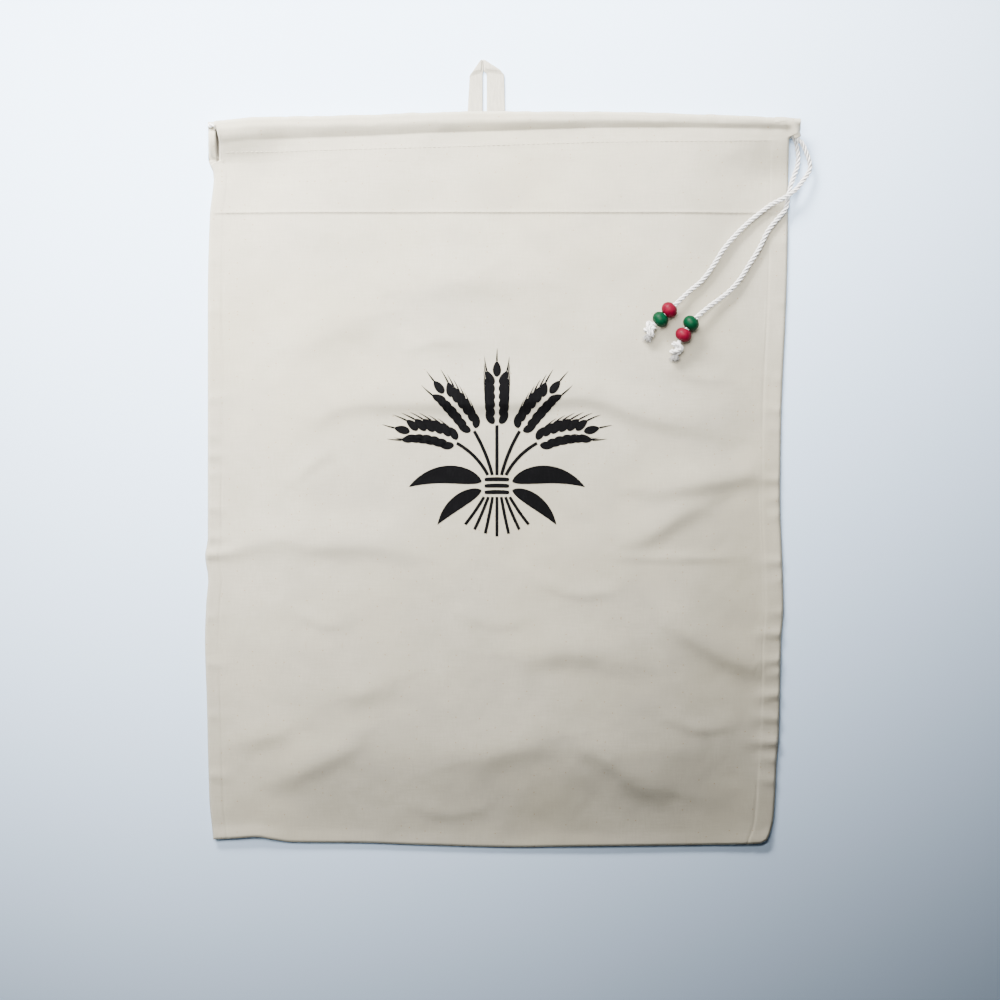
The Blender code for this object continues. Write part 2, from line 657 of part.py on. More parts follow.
def make_bead(name, place, heading, paint, group):
    """A round wooden bead: its profile turned about the cord."""
    shape = bmesh.new()
    corners = [shape.verts.new((r * MM, 0.0, share * BEAD_HALF * MM)) for r, share in BEAD_PROFILE]
    for index, corner in enumerate(corners):
        shape.edges.new((corner, corners[(index + 1) % len(corners)]))
    mesh = bpy.data.meshes.new(name)
    shape.to_mesh(mesh)
    shape.free()
    mesh.materials.append(paint)
    bead = bpy.data.objects.new(name, mesh)
    turn = bead.modifiers.new("turn", "SCREW")
    turn.steps = BEAD_SIDES
    turn.render_steps = BEAD_SIDES
    turn.use_merge_vertices = True
    turn.merge_threshold = 0.00001
    turn.use_smooth_shade = True
    bead.matrix_world = Matrix.Translation(Vector(place) * MM) @ turned_to(heading)
    group.objects.link(bead)
    return bead


def make_knot(name, place, heading, cotton, group):
    """An end knot: two slanting wraps round the cord and its frayed tip, fused into one body."""
    shape = bmesh.new()
    for offset, ring, thick, slant in KNOT_WRAPS:
        bpy.ops.mesh.primitive_torus_add(
            major_radius=ring * MM, minor_radius=thick * MM, major_segments=24, minor_segments=12)
        wrap = bpy.context.active_object
        wrap.data.transform(Matrix.Translation((0, 0, offset * MM)) @ Matrix.Rotation(math.radians(slant), 4, "X"))
        shape.from_mesh(wrap.data)
        bpy.data.objects.remove(wrap, do_unlink=True)
    root, tip, neck, brush = KNOT_TUFT
    core = KNOT_BACK - 0.45 + root
    bmesh.ops.create_cone(
        shape, cap_ends=True, segments=12, radius1=1.4 * MM, radius2=1.4 * MM, depth=core * MM,
        matrix=Matrix.Translation((0, 0, (root - 0.5 * core) * MM)))
    bmesh.ops.create_cone(
        shape, cap_ends=True, segments=12, radius1=neck * MM, radius2=brush * MM, depth=(tip - root) * MM,
        matrix=Matrix.Translation((0, 0, 0.5 * (root + tip) * MM)))
    mesh = bpy.data.meshes.new(name)
    shape.to_mesh(mesh)
    shape.free()
    mesh.materials.append(cotton)
    knot = bpy.data.objects.new(name, mesh)
    fuse = knot.modifiers.new("fuse", "REMESH")
    fuse.mode = "VOXEL"
    fuse.voxel_size = KNOT_VOXEL * MM
    thin = knot.modifiers.new("fewer faces", "DECIMATE")
    thin.ratio = KNOT_KEEP
    knot.modifiers.new("triangles", "TRIANGULATE")
    knot.matrix_world = Matrix.Translation(Vector(place) * MM) @ turned_to(heading)
    group.objects.link(knot)
    return knot


def main():
    """Build the bag with its loop, cord, beads and knots."""
    clear_scene()
    group = new_collection("drawstring_bread_bag")
    cutters = new_collection("cutters")
    cotton = new_material("natural_cotton", (0.72, 0.69, 0.61), 0.92)
    cord_cotton = new_material("white_cotton_cord", (0.82, 0.81, 0.80), 0.85)
    paints = {
        "red": new_material("red_painted_wood", (0.36, 0.01, 0.04), 0.32),
        "green": new_material("green_painted_wood", (0.0, 0.09, 0.04), 0.32),
    }
    make_bag(group, cutters, cotton)
    make_loop(group, cutters, cotton)
    make_cord(group, cutters, cord_cotton)
    for name, place, colour in BEADS:
        tail = UPPER_TAIL if name.endswith("upper") else LOWER_TAIL
        knot = KNOTS[0] if name.endswith("upper") else KNOTS[1]
        heading = cord_heading(np.vstack((tail, knot[1])), place)
        make_bead(name, place, heading, paints[colour], group)
    for name, place, heading in KNOTS:
        make_knot(name, place, heading, cord_cotton, group)
    for thing in list(group.objects) + list(cutters.objects):
        thing.location += Vector(FRAME_SHIFT) * MM


if __name__ == "__main__":
    main()
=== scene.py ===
"""Looks of a drawstring bread bag: cotton cloth, tape loop, twisted cord, beads and a printed sheaf.

The file is laid out as a Blender add-on and run as a script. Each operator builds one group of pieces
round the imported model. All tables are in millimetres in the bag's own frame: +X towards the edge where
the cord comes out, +Y towards the mouth, +Z up from the surface that the bag lies on.
"""

import math

import bmesh
import bpy
import numpy as np
from bpy.props import FloatProperty, FloatVectorProperty, PointerProperty
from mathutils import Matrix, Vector


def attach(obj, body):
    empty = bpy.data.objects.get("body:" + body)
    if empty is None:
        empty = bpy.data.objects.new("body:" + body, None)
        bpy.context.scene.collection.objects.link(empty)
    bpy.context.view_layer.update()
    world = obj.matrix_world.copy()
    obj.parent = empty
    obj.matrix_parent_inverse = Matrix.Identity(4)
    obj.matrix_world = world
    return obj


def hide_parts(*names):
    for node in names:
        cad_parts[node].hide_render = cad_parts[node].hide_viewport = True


bl_info = {
    "name": "Drawstring bread bag",
    "version": (1, 0, 0),
    "blender": (4, 5, 0),
    "location": "View3D > Sidebar > Bread bag",
    "description": "Builds the looks of a drawstring bread bag round its packed model",
    "category": "Object",
}

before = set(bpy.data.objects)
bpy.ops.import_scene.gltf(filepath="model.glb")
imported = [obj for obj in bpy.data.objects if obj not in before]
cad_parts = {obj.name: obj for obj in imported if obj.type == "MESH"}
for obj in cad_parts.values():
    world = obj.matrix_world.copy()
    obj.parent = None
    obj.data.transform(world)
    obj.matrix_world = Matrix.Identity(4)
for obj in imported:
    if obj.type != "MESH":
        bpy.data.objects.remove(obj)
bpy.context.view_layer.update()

MM = 0.001
FRAME_SHIFT = np.array((0.7, 0.05, 0.0))

# Edges of the bag as it lies: (y, x) for the sides, (x, y) for the fold and the casing's centre line
LEFT_EDGE = (
    (-240, -176.5), (-235, -176.9), (-211, -179.3), (-150, -180.9), (-114, -182.0), (-91, -181.2),
    (-77, -180.0), (-62, -181.9), (-53, -180.3), (0, -180.3), (94, -180.3), (145, -179.0),
    (169, -176.6), (180, -180.0), (204, -180.0),
)
RIGHT_EDGE = (
    (-240, 159.5), (-235, 160.9), (-231, 162.6), (-224, 164.4), (-209, 165.6), (-188, 166.5),
    (-174, 167.8), (-142, 168.7), (-114, 169.3), (-95, 170.7), (-69, 170.1), (-28, 168.7),
    (17, 169.2), (57, 170.7), (76, 171.7), (117, 173.1), (144, 173.5), (204, 173.8),
)
BOTTOM_EDGE = (
    (-183, -235.3), (-177, -235.3), (-164, -234.7), (-150, -233.8), (-141, -235.3), (-128, -237.1),
    (-88, -237.4), (-51, -238.7), (10, -240.2), (35, -239.8), (89, -239.2), (131, -238.7),
    (156, -238.0), (162, -235.5), (174, -235.5),
)
CASING_LINE = (
    (-183, 199.2), (-178, 199.4), (-155, 201.2), (-92, 202.5), (-22, 204.7), (49, 204.7),
    (142, 202.4), (166, 201.5), (176, 201.4),
)
CASING_STITCH = (
    (-183, 183.0), (-134, 183.4), (-87, 184.7), (-36, 186.0), (-10, 186.8), (60, 189.0), (176, 190.2),
)
HEM_STITCH_Y = 146.3
SLIT_INSET = ((-240, 0), (175.6, 0), (176.4, 0.6), (178.4, 6.6), (189, 7.0), (196, 5.8), (204, 4.3))
CASING_TAB = ((-240, 0), (190.5, 0), (192.2, 0.4), (193.4, 3.6), (194.8, 6.2), (197, 6.9), (204, 6.9))

# The back's edge beside the slit: height, width of its outer rise, place and width of its inner drop,
# y of its start and end, and the lengths over which it comes up and goes down
SLIT_RIDGE = (7.4, 1.1, 4.4, 0.7, 175.0, 201.0, 17.0, 4.0)

# Heights of the cloth, as its solid has them
BACK_WALL = 1.0
SEAM_INSIDE = 1.3
SEAM_OUTSIDE = 2.6
INSIDE_HEIGHT = 10.2
OUTSIDE_HEIGHT = 11.7
SIDE_RISE = 75.0
BOTTOM_RISE = 62.0
SEAM_INSET = 12.0
LEFT_SEAM_TOP = 176.0
RIGHT_SEAM_TOP = 165.0
HEM_STEP = 0.5
ROLL_RADIUS = 2.7
BACK_ROLL_RADIUS = 2.5
BACK_ROLL_Z = 2.6
ROLL_SINK = 0.25
ROLL_LEFT_X = -175.7
ELBOW_START_X = 164.0
LEFT_DIP = 2.8
RIGHT_DIP = 1.5
DIP_REACH = 26.0
TURN_REACH = 2.9
SHOULDER = (
    (-175, 2.6, 11.4), (-92, 3.8, 10.2), (-22, 3.7, 9.8), (48, 2.5, 7.4), (142, 0.6, 5.0), (174, 0.5, 4.0),
)
BACK_SHOULDER = (2.0, 9.0)
BOTTOM_LIFT = (
    (-182, 1.8), (-150, 2.4), (-128, 0.9), (-60, 0.5), (0, 0.3), (60, 0.8), (120, 0.5), (165, 1.6),
)
BOTTOM_LIFT_REACH = 9.0
LOOP_X = -10.5
LOOP_LIFT = 1.65
LOOP_LIFT_FLAT = 23.0
LOOP_LIFT_FALL = 20.0
MOUTH_LIFT_FALL = 60.0
LOOP_LIFT_Y = (158.0, 172.0)
MOUTH_REACH = 60.0
# The sides stand fully open this far below the casing, and a seam's allowance ends over this length
OPEN_BELOW = 6.0
SEAM_END = 6.0
# Depth and width of the rounding of the cloth's outer corner
EDGE_ROUND = (1.15, 1.6)
# The cord's bend lies beyond this x and y; cloth over it, how fast its hump falls, and how softly it blends
ELBOW_CORNER = (150.0, 182.0)
ELBOW_COVER = 0.35
ELBOW_FALL = 0.25
ELBOW_BLEND = 0.8

# Soft ridge that a line of stitches raises above itself: height and half width
HEM_RIDGE = (0.34, 0.85)
CASING_RIDGE = (0.18, 0.8)
STITCH_OFFSET = 0.2

# Seam allowance inside the cloth: its width at the left and at the right edge
ALLOWANCE_WIDTHS = (8.6, 11.4)

# Unevenness that no table holds: (height, size, seed) of each soft noise
SHOULDER_WAVES = ((0.5, 9.0, 41), (0.3, 4.0, 43))
ROLL_WAVES = ((0.28, 7.0, 21), (0.16, 3.0, 23))
BROAD_WAVES = ((0.42, 34.0, 7),)
SLANTED_WAVES = ((0.20, 15.0, 11),)
FINE_WAVES = ((0.08, 7.0, 13),)
WAVE_SLANT = 0.4

# Folds of the front: height, reach of the slope above, reach of the slope below, points of the crest
FOLDS = (
    (2.2, 15, 8, ((-125, 7), (-113, 20), (-97, 29), (-72, 31), (-41, 31), (5, 31), (30, 34), (59, 33),
                  (79, 25), (99, 19), (120, 15), (144, 8))),
    (1.3, 18, 13, ((-63, 98), (-39, 104), (-2, 106), (28, 101))),
    (1.2, 16, 12, ((-133, 62), (-106, 75), (-78, 82))),
    (1.8, 14, 9, ((-180, -57), (-157, -55), (-133, -52), (-112, -56), (-91, -55), (-69, -57), (-48, -64))),
    (1.8, 12, 8, ((80, -24), (114, -19), (144, -14), (169, -7))),
    (1.6, 12, 8, ((72, -58), (94, -46), (110, -36), (128, -30))),
    (2.0, 13, 9, ((96, -98), (120, -115), (141, -126), (167, -133))),
    (1.5, 15, 10, ((0, -124), (16, -123), (47, -121), (83, -131))),
    (1.6, 13, 9, ((41, -174), (62, -185), (83, -202), (102, -208))),
    (1.4, 15, 11, ((-22, -188), (-14, -185), (10, -178), (34, -174))),
    (1.5, 12, 9, ((-142, -202), (-136, -199), (-96, -180), (-84, -172))),
    (1.2, 12, 9, ((-97, -150), (-80, -143), (-63, -138))),
    (1.3, 12, 9, ((-162, -178), (-145, -171), (-127, -168))),
)
FOLD_EDGE = 22.0
CREST_SPACING = 4.0
RIDGE_REACH = 2.6
STEEP_SIDE = 0.8
SIDE_BLEND = 5.0

# Finer creases that only the looks have, laid out as the folds are
CREASES = (
    (0.5, 4, 3, ((59, -63), (90, -64), (147, -64))),
    (0.5, 6, 4, ((-128, -20), (-118, -8), (-104, 2))),
    (0.5, 7, 4, ((-60, 62), (-38, 68), (-20, 66))),
    (0.5, 6, 4, ((96, 52), (118, 46), (140, 44))),
    (0.6, 6, 4, ((20, -78), (44, -86), (70, -84))),
    (0.6, 7, 5, ((-30, -96), (-8, -104), (14, -102))),
    (0.5, 6, 4, ((-128, -96), (-110, -104), (-92, -104))),
    (0.6, 6, 4, ((96, -160), (118, -168), (142, -166))),
    (0.5, 7, 5, ((-60, -214), (-36, -220), (-10, -216))),
)

# Puckers along the side seams: y, length inwards, height
LEFT_PUCKERS = (
    (87, 16, 0.6), (33, 20, 0.8), (11, 14, 0.5), (-1, 20, 1.1), (-13, 14, 0.7), (-33, 18, 0.9),
    (-51, 22, 1.1), (-62, 34, 2.2), (-100, 18, 0.7), (-128, 20, 0.8), (-160, 16, 0.7), (-196, 22, 0.9),
    (118, 14, 0.5),
)
RIGHT_PUCKERS = (
    (45, 16, 0.6), (26, 20, 0.8), (14, 12, 0.5), (-16, 24, 1.2), (-27, 16, 0.8), (-38, 14, 0.7),
    (-66, 22, 1.1), (-77, 12, 0.6), (-97, 16, 0.9), (-110, 24, 1.7), (-126, 22, 1.6), (-134, 14, 1.0),
    (-147, 24, 1.8), (-162, 24, 1.6), (-176, 26, 2.0), (-187, 18, 1.1), (-200, 18, 1.0), (92, 12, 0.5),
    (128, 14, 0.5),
)
PUCKER_HALF = 2.6
PUCKER_SPREAD = 0.10
PUCKER_SLANT = 0.12

# The drawcord's route, as its solids have it
CORD_DIAMETER = 3.0
ROPE_STEP = 0.45
TAIL_LEAD = 1.6
KNOT_BACK = 4.6
UPPER_ELBOW = (
    (169.3, 201.4, 11.4), (172.3, 201.2, 11.1), (174.5, 200.5, 10.7), (175.9, 199.3, 10.3),
    (176.6, 198.1, 10.0), (177.6, 195.4, 9.5), (178.7, 192.3, 9.0),
)
LOWER_ELBOW = ((168.7, 200.9, 2.6), (171.1, 200.0, 2.6), (172.8, 198.1, 2.6), (173.8, 195.7, 2.6))
TAILS = {"upper": (
    (181.5, 188.7, 7.6), (184.5, 182.6, 6.3), (186.4, 177.1, 5.5), (186.5, 172.8, 5.3), (184.8, 169.2, 5.8),
    (182.4, 165.8, 6.7), (178.7, 161.1, 7.8), (174.0, 157.4, 8.3), (168.4, 154.1, 7.4), (164.7, 152.3, 6.6),
    (156.7, 146.6, 6.2), (148.8, 140.1, 7.0), (140.8, 132.2, 8.3), (133.4, 123.3, 9.8),
    (126.9, 113.0, 10.9), (120.4, 104.6, 12.0), (112.9, 98.2, 13.8), (105.9, 91.6, 15.9),
    (100.6, 86.9, 16.9), (95.2, 81.1, 16.9),
), "lower": (
    (177.2, 191.7, 2.2), (179.3, 184.4, 1.9), (179.6, 177.7, 1.9), (178.9, 174.0, 2.2), (177.2, 169.2, 3.2),
    (175.1, 163.1, 4.5), (173.4, 155.7, 4.7), (171.7, 148.5, 4.6), (167.9, 143.8, 4.8), (160.9, 135.0, 5.4),
    (156.3, 125.7, 6.0), (148.8, 113.5, 7.1), (142.3, 103.7, 8.3), (134.3, 95.8, 10.0),
    (128.5, 91.6, 11.7), (121.5, 86.1, 14.2), (113.8, 78.8, 16.2), (109.2, 71.7, 16.6),
)}

# Each end knot: its middle, the way it points, its turn in radians and the seed of its fibres
KNOTS = {
    "upper": ((89.0, 75.4, 15.9), (-0.28, -0.95, -0.14), 0.4, 5),
    "lower": ((105.0, 63.6, 15.7), (-0.12, -0.98, -0.14), 2.1, 9),
}
# How the cord winds in a knot: angle in degrees, distance from the axis, place along it
KNOT_WINDING = (
    (0, 0.0, -4.6), (0, 0.3, -2.2), (20, 0.6, 0.2), (60, 1.7, 2.5), (130, 2.6, 3.1), (220, 2.75, 2.5),
    (310, 2.7, 1.6), (400, 2.5, 0.3), (490, 2.3, -0.9), (580, 2.1, -2.0), (660, 2.0, -3.0),
    (730, 2.3, -2.2), (780, 2.9, 0.2), (830, 2.8, 2.4), (875, 1.3, 3.4), (900, 0.3, 3.8),
)
KNOT_FIBRES = 90
FIBRE_RADIUS = 0.22
FIBRE_FLOOR = 12.6
# Each bead: its free end, its middle and its colour
BEADS = (
    ("upper", (100.6, 86.9, 16.9), "red"), ("upper", (95.2, 81.1, 16.9), "green"),
    ("lower", (113.8, 78.8, 16.2), "green"), ("lower", (109.2, 71.7, 16.6), "red"),
)
# A bead's profile ends at this angle of its arc, and goes on over (radius, share of half length) points
BEAD_ARC = 1.14
BEAD_RIM = ((2.1, 0.995), (1.9, 0.92), (1.9, 0.6))
BEAD_SIDES = 48

# The sleeves at the casings' ends: x where they start, points round them and how far the lip stands out
SLEEVE_START_LEFT = -166.0
SLEEVE_START_RIGHT = 161.0
SLEEVE_SIDES = 40
LIP_DEPTH = 0.35

# The tape loop's layers: left and right border, lowest z, and z of the top at the lower and the upper end
LOOP_LAYERS = (
    (((-22.0, 186.0), (-21.8, 210.0), (-20.6, 230.5), (-17.2, 235.0), (-14.3, 239.3)),
     ((-12.7, 186.0), (-12.7, 210.0), (-12.7, 231.0), (-12.1, 233.4), (-12.05, 240.1)), 0.05, 1.2, 1.2),
    (((-10.2, 186.0), (-10.2, 210.0), (-10.2, 231.4), (-11.9, 233.0), (-12.0, 240.1)),
     ((0.9, 186.0), (0.9, 208.8), (0.5, 230.8), (-2.3, 234.2), (-9.1, 238.4)), 0.05, 1.2, 1.2),
    (((-20.8, 229.8), (-17.5, 234.7), (-14.1, 239.6)), ((-13.6, 231.9), (-13.5, 235.0), (-13.1, 240.0)),
     0.9, 1.3, 2.25),
    (((-11.6, 232.6), (-11.2, 235.0), (-11.6, 239.9)), ((0.1, 231.0), (-2.7, 234.0), (-9.1, 238.4)),
     0.9, 1.25, 2.2),
)

# The printed sheaf: its binding, the lean of each ear and the length of its stalk
SHEAF_CENTRE = (-4.0, -20.0)
EAR_LEANS = (-61.0, -31.0, 0.0, 31.0, 61.0)
EAR_STALKS = (35.0, 36.0, 37.0, 36.0, 35.0)
GRAIN_PAIRS = 6
GRAIN_LENGTH = 10.8
GRAIN_WIDTH = 5.6
GRAIN_STEP = 4.8
STRAW_LEANS = (-30.0, -20.0, -10.0, 0.0, 10.0, 20.0, 30.0)
STRAW_LENGTH = 24.0
STALK_WIDTH = 2.1
STRAW_WIDTH = 1.9
BRISTLE_WIDTH = 1.1
BAND_REACH = 6.6
INK_ABOVE = 0.2

# The back's inner face has its thread map moved down by this much, so that its finish can tell it apart
INSIDE_MAP = 1000.0

# The camera stands straight above the middle of the photographed area
VIEW_CENTRE = (-2.1, -28.5)
VIEW_WIDTH = 610.0
SENSOR_WIDTH = 36.0
FLOOR_HALF = 3.0
FLOOR_Z = -0.0002

# The soft panels of light, in metres: name, place, target, size and spread in degrees
LAMPS = (
    ("window_light", (-0.32, 0.74, 0.40), (-0.08, 0.30, 0.0), (0.7, 0.35), 44.0),
    ("soft_panel", (-0.15, 0.40, 0.62), (-0.09, 0.30, 0.0), (1.1, 0.7), 66.0),
)
LAMP_COLOUR = (1.0, 0.985, 0.955)
SKY_COLOUR = (0.80, 0.89, 1.0)
INSIDE_SHADE = (0.045, 0.036, 0.028)


def smooth_step(value):
    """0 below 0, 1 above 1, and a soft rise between."""
    value = np.clip(value, 0.0, 1.0)
    return value * value * (3.0 - 2.0 * value)


def through(at, places, values, slopes):
    """The value at each place on a smooth curve through the table's rows, with its slope at each row."""
    at = np.clip(at, places[0], places[-1])
    row = np.clip(np.searchsorted(places, at, side="right") - 1, 0, len(places) - 2)
    step = places[row + 1] - places[row]
    t = (at - places[row]) / step
    start = values[row] * (1 + 2 * t) * (1 - t) ** 2 + slopes[row] * step * t * (1 - t) ** 2
    end = values[row + 1] * t * t * (3 - 2 * t) - slopes[row + 1] * step * t * t * (1 - t)
    return start + end


def along(at, table):
    """The value at each place of a two-column table, never beyond its rows' own values."""
    places, values = np.array(table, float).T
    rise = np.diff(values) / np.diff(places)
    before, after = rise[:-1], rise[1:]
    same_way = before * after > 0
    slopes = np.concatenate((rise[:1], np.where(same_way, 2 * before * after, 0.0), rise[-1:]))
    slopes[1:-1] /= np.where(same_way, before + after, 1.0)
    return through(at, places, values, slopes)


def unit(vectors):
    """The same directions with length one."""
    return vectors / np.linalg.norm(vectors, axis=-1, keepdims=True)


def level_frame(ahead):
    """Two unit vectors across a direction: a level one, and one square to both."""
    side = unit(np.cross(ahead, (0.0, 0.0, 1.0)))
    return side, np.cross(side, ahead)


def leaning(degrees):
    """The direction in plan that leans this far to the right of straight up."""
    return np.array((math.sin(math.radians(degrees)), math.cos(math.radians(degrees))))


def full_turn(count):
    """Angles spread evenly over a full turn."""
    return np.linspace(0.0, 2 * math.pi, count, endpoint=False)


def travelled(line):
    """How far along a line each of its points lies."""
    return np.concatenate(([0.0], np.cumsum(np.linalg.norm(np.diff(line, axis=0), axis=1))))


def smooth_line(points, spacing):
    """Points about 'spacing' apart on one smooth curve through the given ones."""
    points = np.asarray(points, float)
    travel = travelled(points)
    fine = np.linspace(0.0, travel[-1], 40 * len(points))
    curve = np.column_stack([through(fine, travel, row, np.gradient(row, travel)) for row in points.T])
    length = travelled(curve)
    stops = np.linspace(0.0, length[-1], max(2, round(length[-1] / spacing) + 1))
    return np.column_stack([np.interp(stops, length, column) for column in curve.T])


def soft_noise(x, y, size, seed):
    """Smooth random heights from -1 to 1: random numbers on a square grid, blended softly between."""
    table = np.random.default_rng(seed).uniform(-1.0, 1.0, (64, 64))
    across, up = x / size, y / size
    column, row = np.floor(across).astype(int), np.floor(up).astype(int)
    s, t = smooth_step(across - column), smooth_step(up - row)
    near = table[row % 64, column % 64] * (1 - s) + table[row % 64, (column + 1) % 64] * s
    far = table[(row + 1) % 64, column % 64] * (1 - s) + table[(row + 1) % 64, (column + 1) % 64] * s
    return near * (1 - t) + far * t


def unevenness(x, y, waves):
    """Sum of soft noises, from a table of their heights, sizes and seeds."""
    return sum(height * soft_noise(x, y, size, seed) for height, size, seed in waves)


def ridge_height(x, y, ridges):
    """Height of a set of ridges at each point: soft along each crest, steeper on its lower side."""
    total = np.zeros(np.broadcast(x, y).shape)
    for height, above, below, crest in ridges:
        line = smooth_line(crest, CREST_SPACING)
        reach = RIDGE_REACH * max(above, below)
        low, high = line.min(axis=0) - reach, line.max(axis=0) + reach
        near = (x > low[0]) & (x < high[0]) & (y > low[1]) & (y < high[1])
        if not near.any():
            continue
        gap_x = x[near][:, None] - line[:, 0]
        gap_y = y[near][:, None] - line[:, 1]
        heading = unit(np.gradient(line, axis=0))
        side = heading[:, 0] * gap_y - heading[:, 1] * gap_x
        steep = STEEP_SIDE * below
        width = steep + (above - steep) * smooth_step(0.5 + side / SIDE_BLEND)
        ends = 1.0 - np.abs(np.linspace(-1.0, 1.0, len(line))) ** 3
        total[near] += height * np.max(ends * np.exp(-(gap_x**2 + gap_y**2) / width**2), axis=1)
    return total


def pucker_height(x, y):
    """Short ridges that run inwards from the side seams where the thread pulls them."""
    total = np.zeros(np.broadcast(x, y).shape)
    for edge, table in ((x - along(y, LEFT_EDGE), LEFT_PUCKERS), (along(y, RIGHT_EDGE) - x, RIGHT_PUCKERS)):
        for place, length, height in table:
            slant = PUCKER_SLANT * edge * math.sin(place)
            across = (y - place - slant) / (PUCKER_HALF + PUCKER_SPREAD * np.abs(edge))
            fade = smooth_step(1.0 - edge / length) * smooth_step((edge + 1) / 3)
            total += height * np.exp(-across**2) * fade
    return total


def dome(x, y):
    """0 at the seams and the bottom fold, 1 over the middle and at the mouth."""
    casing = along(x, CASING_LINE)
    left = smooth_step((x - along(y, LEFT_EDGE)) / SIDE_RISE)
    right = smooth_step((along(y, RIGHT_EDGE) - x) / SIDE_RISE)
    open_left = smooth_step((y - LEFT_SEAM_TOP) / (casing - OPEN_BELOW - LEFT_SEAM_TOP))
    open_right = smooth_step((y - RIGHT_SEAM_TOP) / (casing - OPEN_BELOW - RIGHT_SEAM_TOP))
    sides = (1 - (1 - left) * (1 - open_left)) * (1 - (1 - right) * (1 - open_right))
    return sides * smooth_step((y - along(x, BOTTOM_EDGE)) / BOTTOM_RISE)


def loop_lift(x, fall=LOOP_LIFT_FALL):
    """The loop's legs lift the casings over them."""
    return LOOP_LIFT * (1 - smooth_step((np.abs(x - LOOP_X) - LOOP_LIFT_FLAT) / fall))


def mouth_lift(x):
    """How the front casing rises over the loop and dips at both ends."""
    left = 1 - smooth_step((x - ROLL_LEFT_X) / DIP_REACH)
    right = 1 - smooth_step((ELBOW_START_X + 10.0 - x) / DIP_REACH)
    return loop_lift(x, MOUTH_LIFT_FALL) - LEFT_DIP * left - RIGHT_DIP * right


def near_mouth(x, y):
    """1 at the casing, fading to 0 below it."""
    return 1 - smooth_step((along(x, CASING_LINE) - y) / MOUTH_REACH)


def shoulder(below, start, end):
    """1 from the roll's crest to 'start', falling to 0 at 'end' with a crease there."""
    t = np.clip((below - start) / (end - start), 0.0, 1.0)
    return 0.3 * np.cos(0.5 * math.pi * t) + 0.7 * (1 - t)


def underside_lift(x, y):
    """How far the back's underside stands off the surface over the loop's legs."""
    low, high = LOOP_LIFT_Y
    return loop_lift(x) * smooth_step((y - low) / (high - low))


def edge_distance(x, y):
    """Distance in from the nearest side seam or the bottom fold."""
    sides = np.minimum(x - along(y, LEFT_EDGE), along(y, RIGHT_EDGE) - x)
    return np.minimum(sides, y - along(x, BOTTOM_EDGE))


def rounded_edge(edge):
    """How far the cloth's outer corner is rounded back at a distance from its edge."""
    depth, width = EDGE_ROUND
    return depth * smooth_step(1.0 - edge / width) ** 2


def stitch_ridge(off, ridge):
    """Height of the soft ridge beside a line of stitches."""
    height, width = ridge
    return height * np.exp(-(((off - STITCH_OFFSET) / width) ** 2))


def outside_front(x, y):
    """Height of the front's outer face: dome, folds, creases, puckers, hem, seam allowance and shoulder."""
    setup = bpy.context.scene.bread_bag_cloth
    below = along(x, CASING_LINE) - y
    places, starts, ends = zip(*SHOULDER)
    wave = unevenness(x, 0.0 * x, SHOULDER_WAVES)
    rounded = shoulder(below, np.interp(x, places, starts) + wave, np.interp(x, places, ends))
    roll_top = INSIDE_HEIGHT + 2 * ROLL_RADIUS - ROLL_SINK
    rise = dome(x, y)
    edge = edge_distance(x, y)
    inland = smooth_step(edge / FOLD_EDGE)
    height = SEAM_OUTSIDE + (OUTSIDE_HEIGHT - SEAM_OUTSIDE) * rise
    height += mouth_lift(x) * near_mouth(x, y) * rise
    height += setup.fold_strength * ridge_height(x, y, FOLDS) * (0.25 + 0.75 * inland)
    height += (roll_top - OUTSIDE_HEIGHT) * rounded
    seam = smooth_step(edge / 6.0)
    height += HEM_STEP * smooth_step((y - HEM_STITCH_Y + 1.6) / 3.2) * seam
    height += stitch_ridge(y - HEM_STITCH_Y, HEM_RIDGE) * seam
    height += stitch_ridge(y - np.interp(x, *zip(*CASING_STITCH)), CASING_RIDGE) * seam
    fine = (ridge_height(x, y, CREASES) + unevenness(x, y, BROAD_WAVES)) * inland
    small = unevenness(x + WAVE_SLANT * y, y, SLANTED_WAVES) + unevenness(x, y, FINE_WAVES)
    fine += small * smooth_step(edge / 8)
    flat_panel = 1 - rounded
    height += setup.crease_strength * fine * flat_panel + pucker_height(x, y)
    left_width, right_width = ALLOWANCE_WIDTHS
    sewn = np.minimum(x - along(y, LEFT_EDGE) - left_width, along(y, RIGHT_EDGE) - x - right_width)
    allowance = 1 - smooth_step((sewn - 0.5 * soft_noise(x, y, 24.0, 51)) / 1.6)
    height += (0.24 + 0.12 * soft_noise(x, y, 40.0, 53)) * allowance * smooth_step(edge / 3.0) * flat_panel
    height -= (0.26 + 0.20 * soft_noise(x, y, 30.0, 57)) * np.exp(-((sewn / 0.9) ** 2)) * flat_panel
    return over_elbow(x, y, height)


def over_elbow(x, y, height):
    """The front's corner over the cord's bend: a soft hump that the cloth follows."""
    near = (x > ELBOW_CORNER[0]) & (y > ELBOW_CORNER[1])
    if not near.any():
        return height
    line = smooth_line(UPPER_ELBOW, 0.8)
    off = (x[near][:, None] - line[:, 0]) ** 2 + (y[near][:, None] - line[:, 1]) ** 2
    hump = np.max(line[:, 2] + ROLL_RADIUS + ELBOW_COVER - ELBOW_FALL * off, axis=1)
    low = height[near]
    height = height.copy()
    height[near] = 0.5 * (low + hump + np.sqrt((low - hump) ** 2 + ELBOW_BLEND))
    return height


def slit_ridge(x, y):
    """The back's edge stands up beside the slit at the left end of the casings, with a steep inner side."""
    height, rise, wide, drop, low, high, up, down = SLIT_RIDGE
    inland = x - along(y, LEFT_EDGE)
    across = smooth_step(inland / rise) * (1 - smooth_step((inland - wide) / drop))
    return height * across * smooth_step((y - low) / up) * smooth_step((high - y) / down)


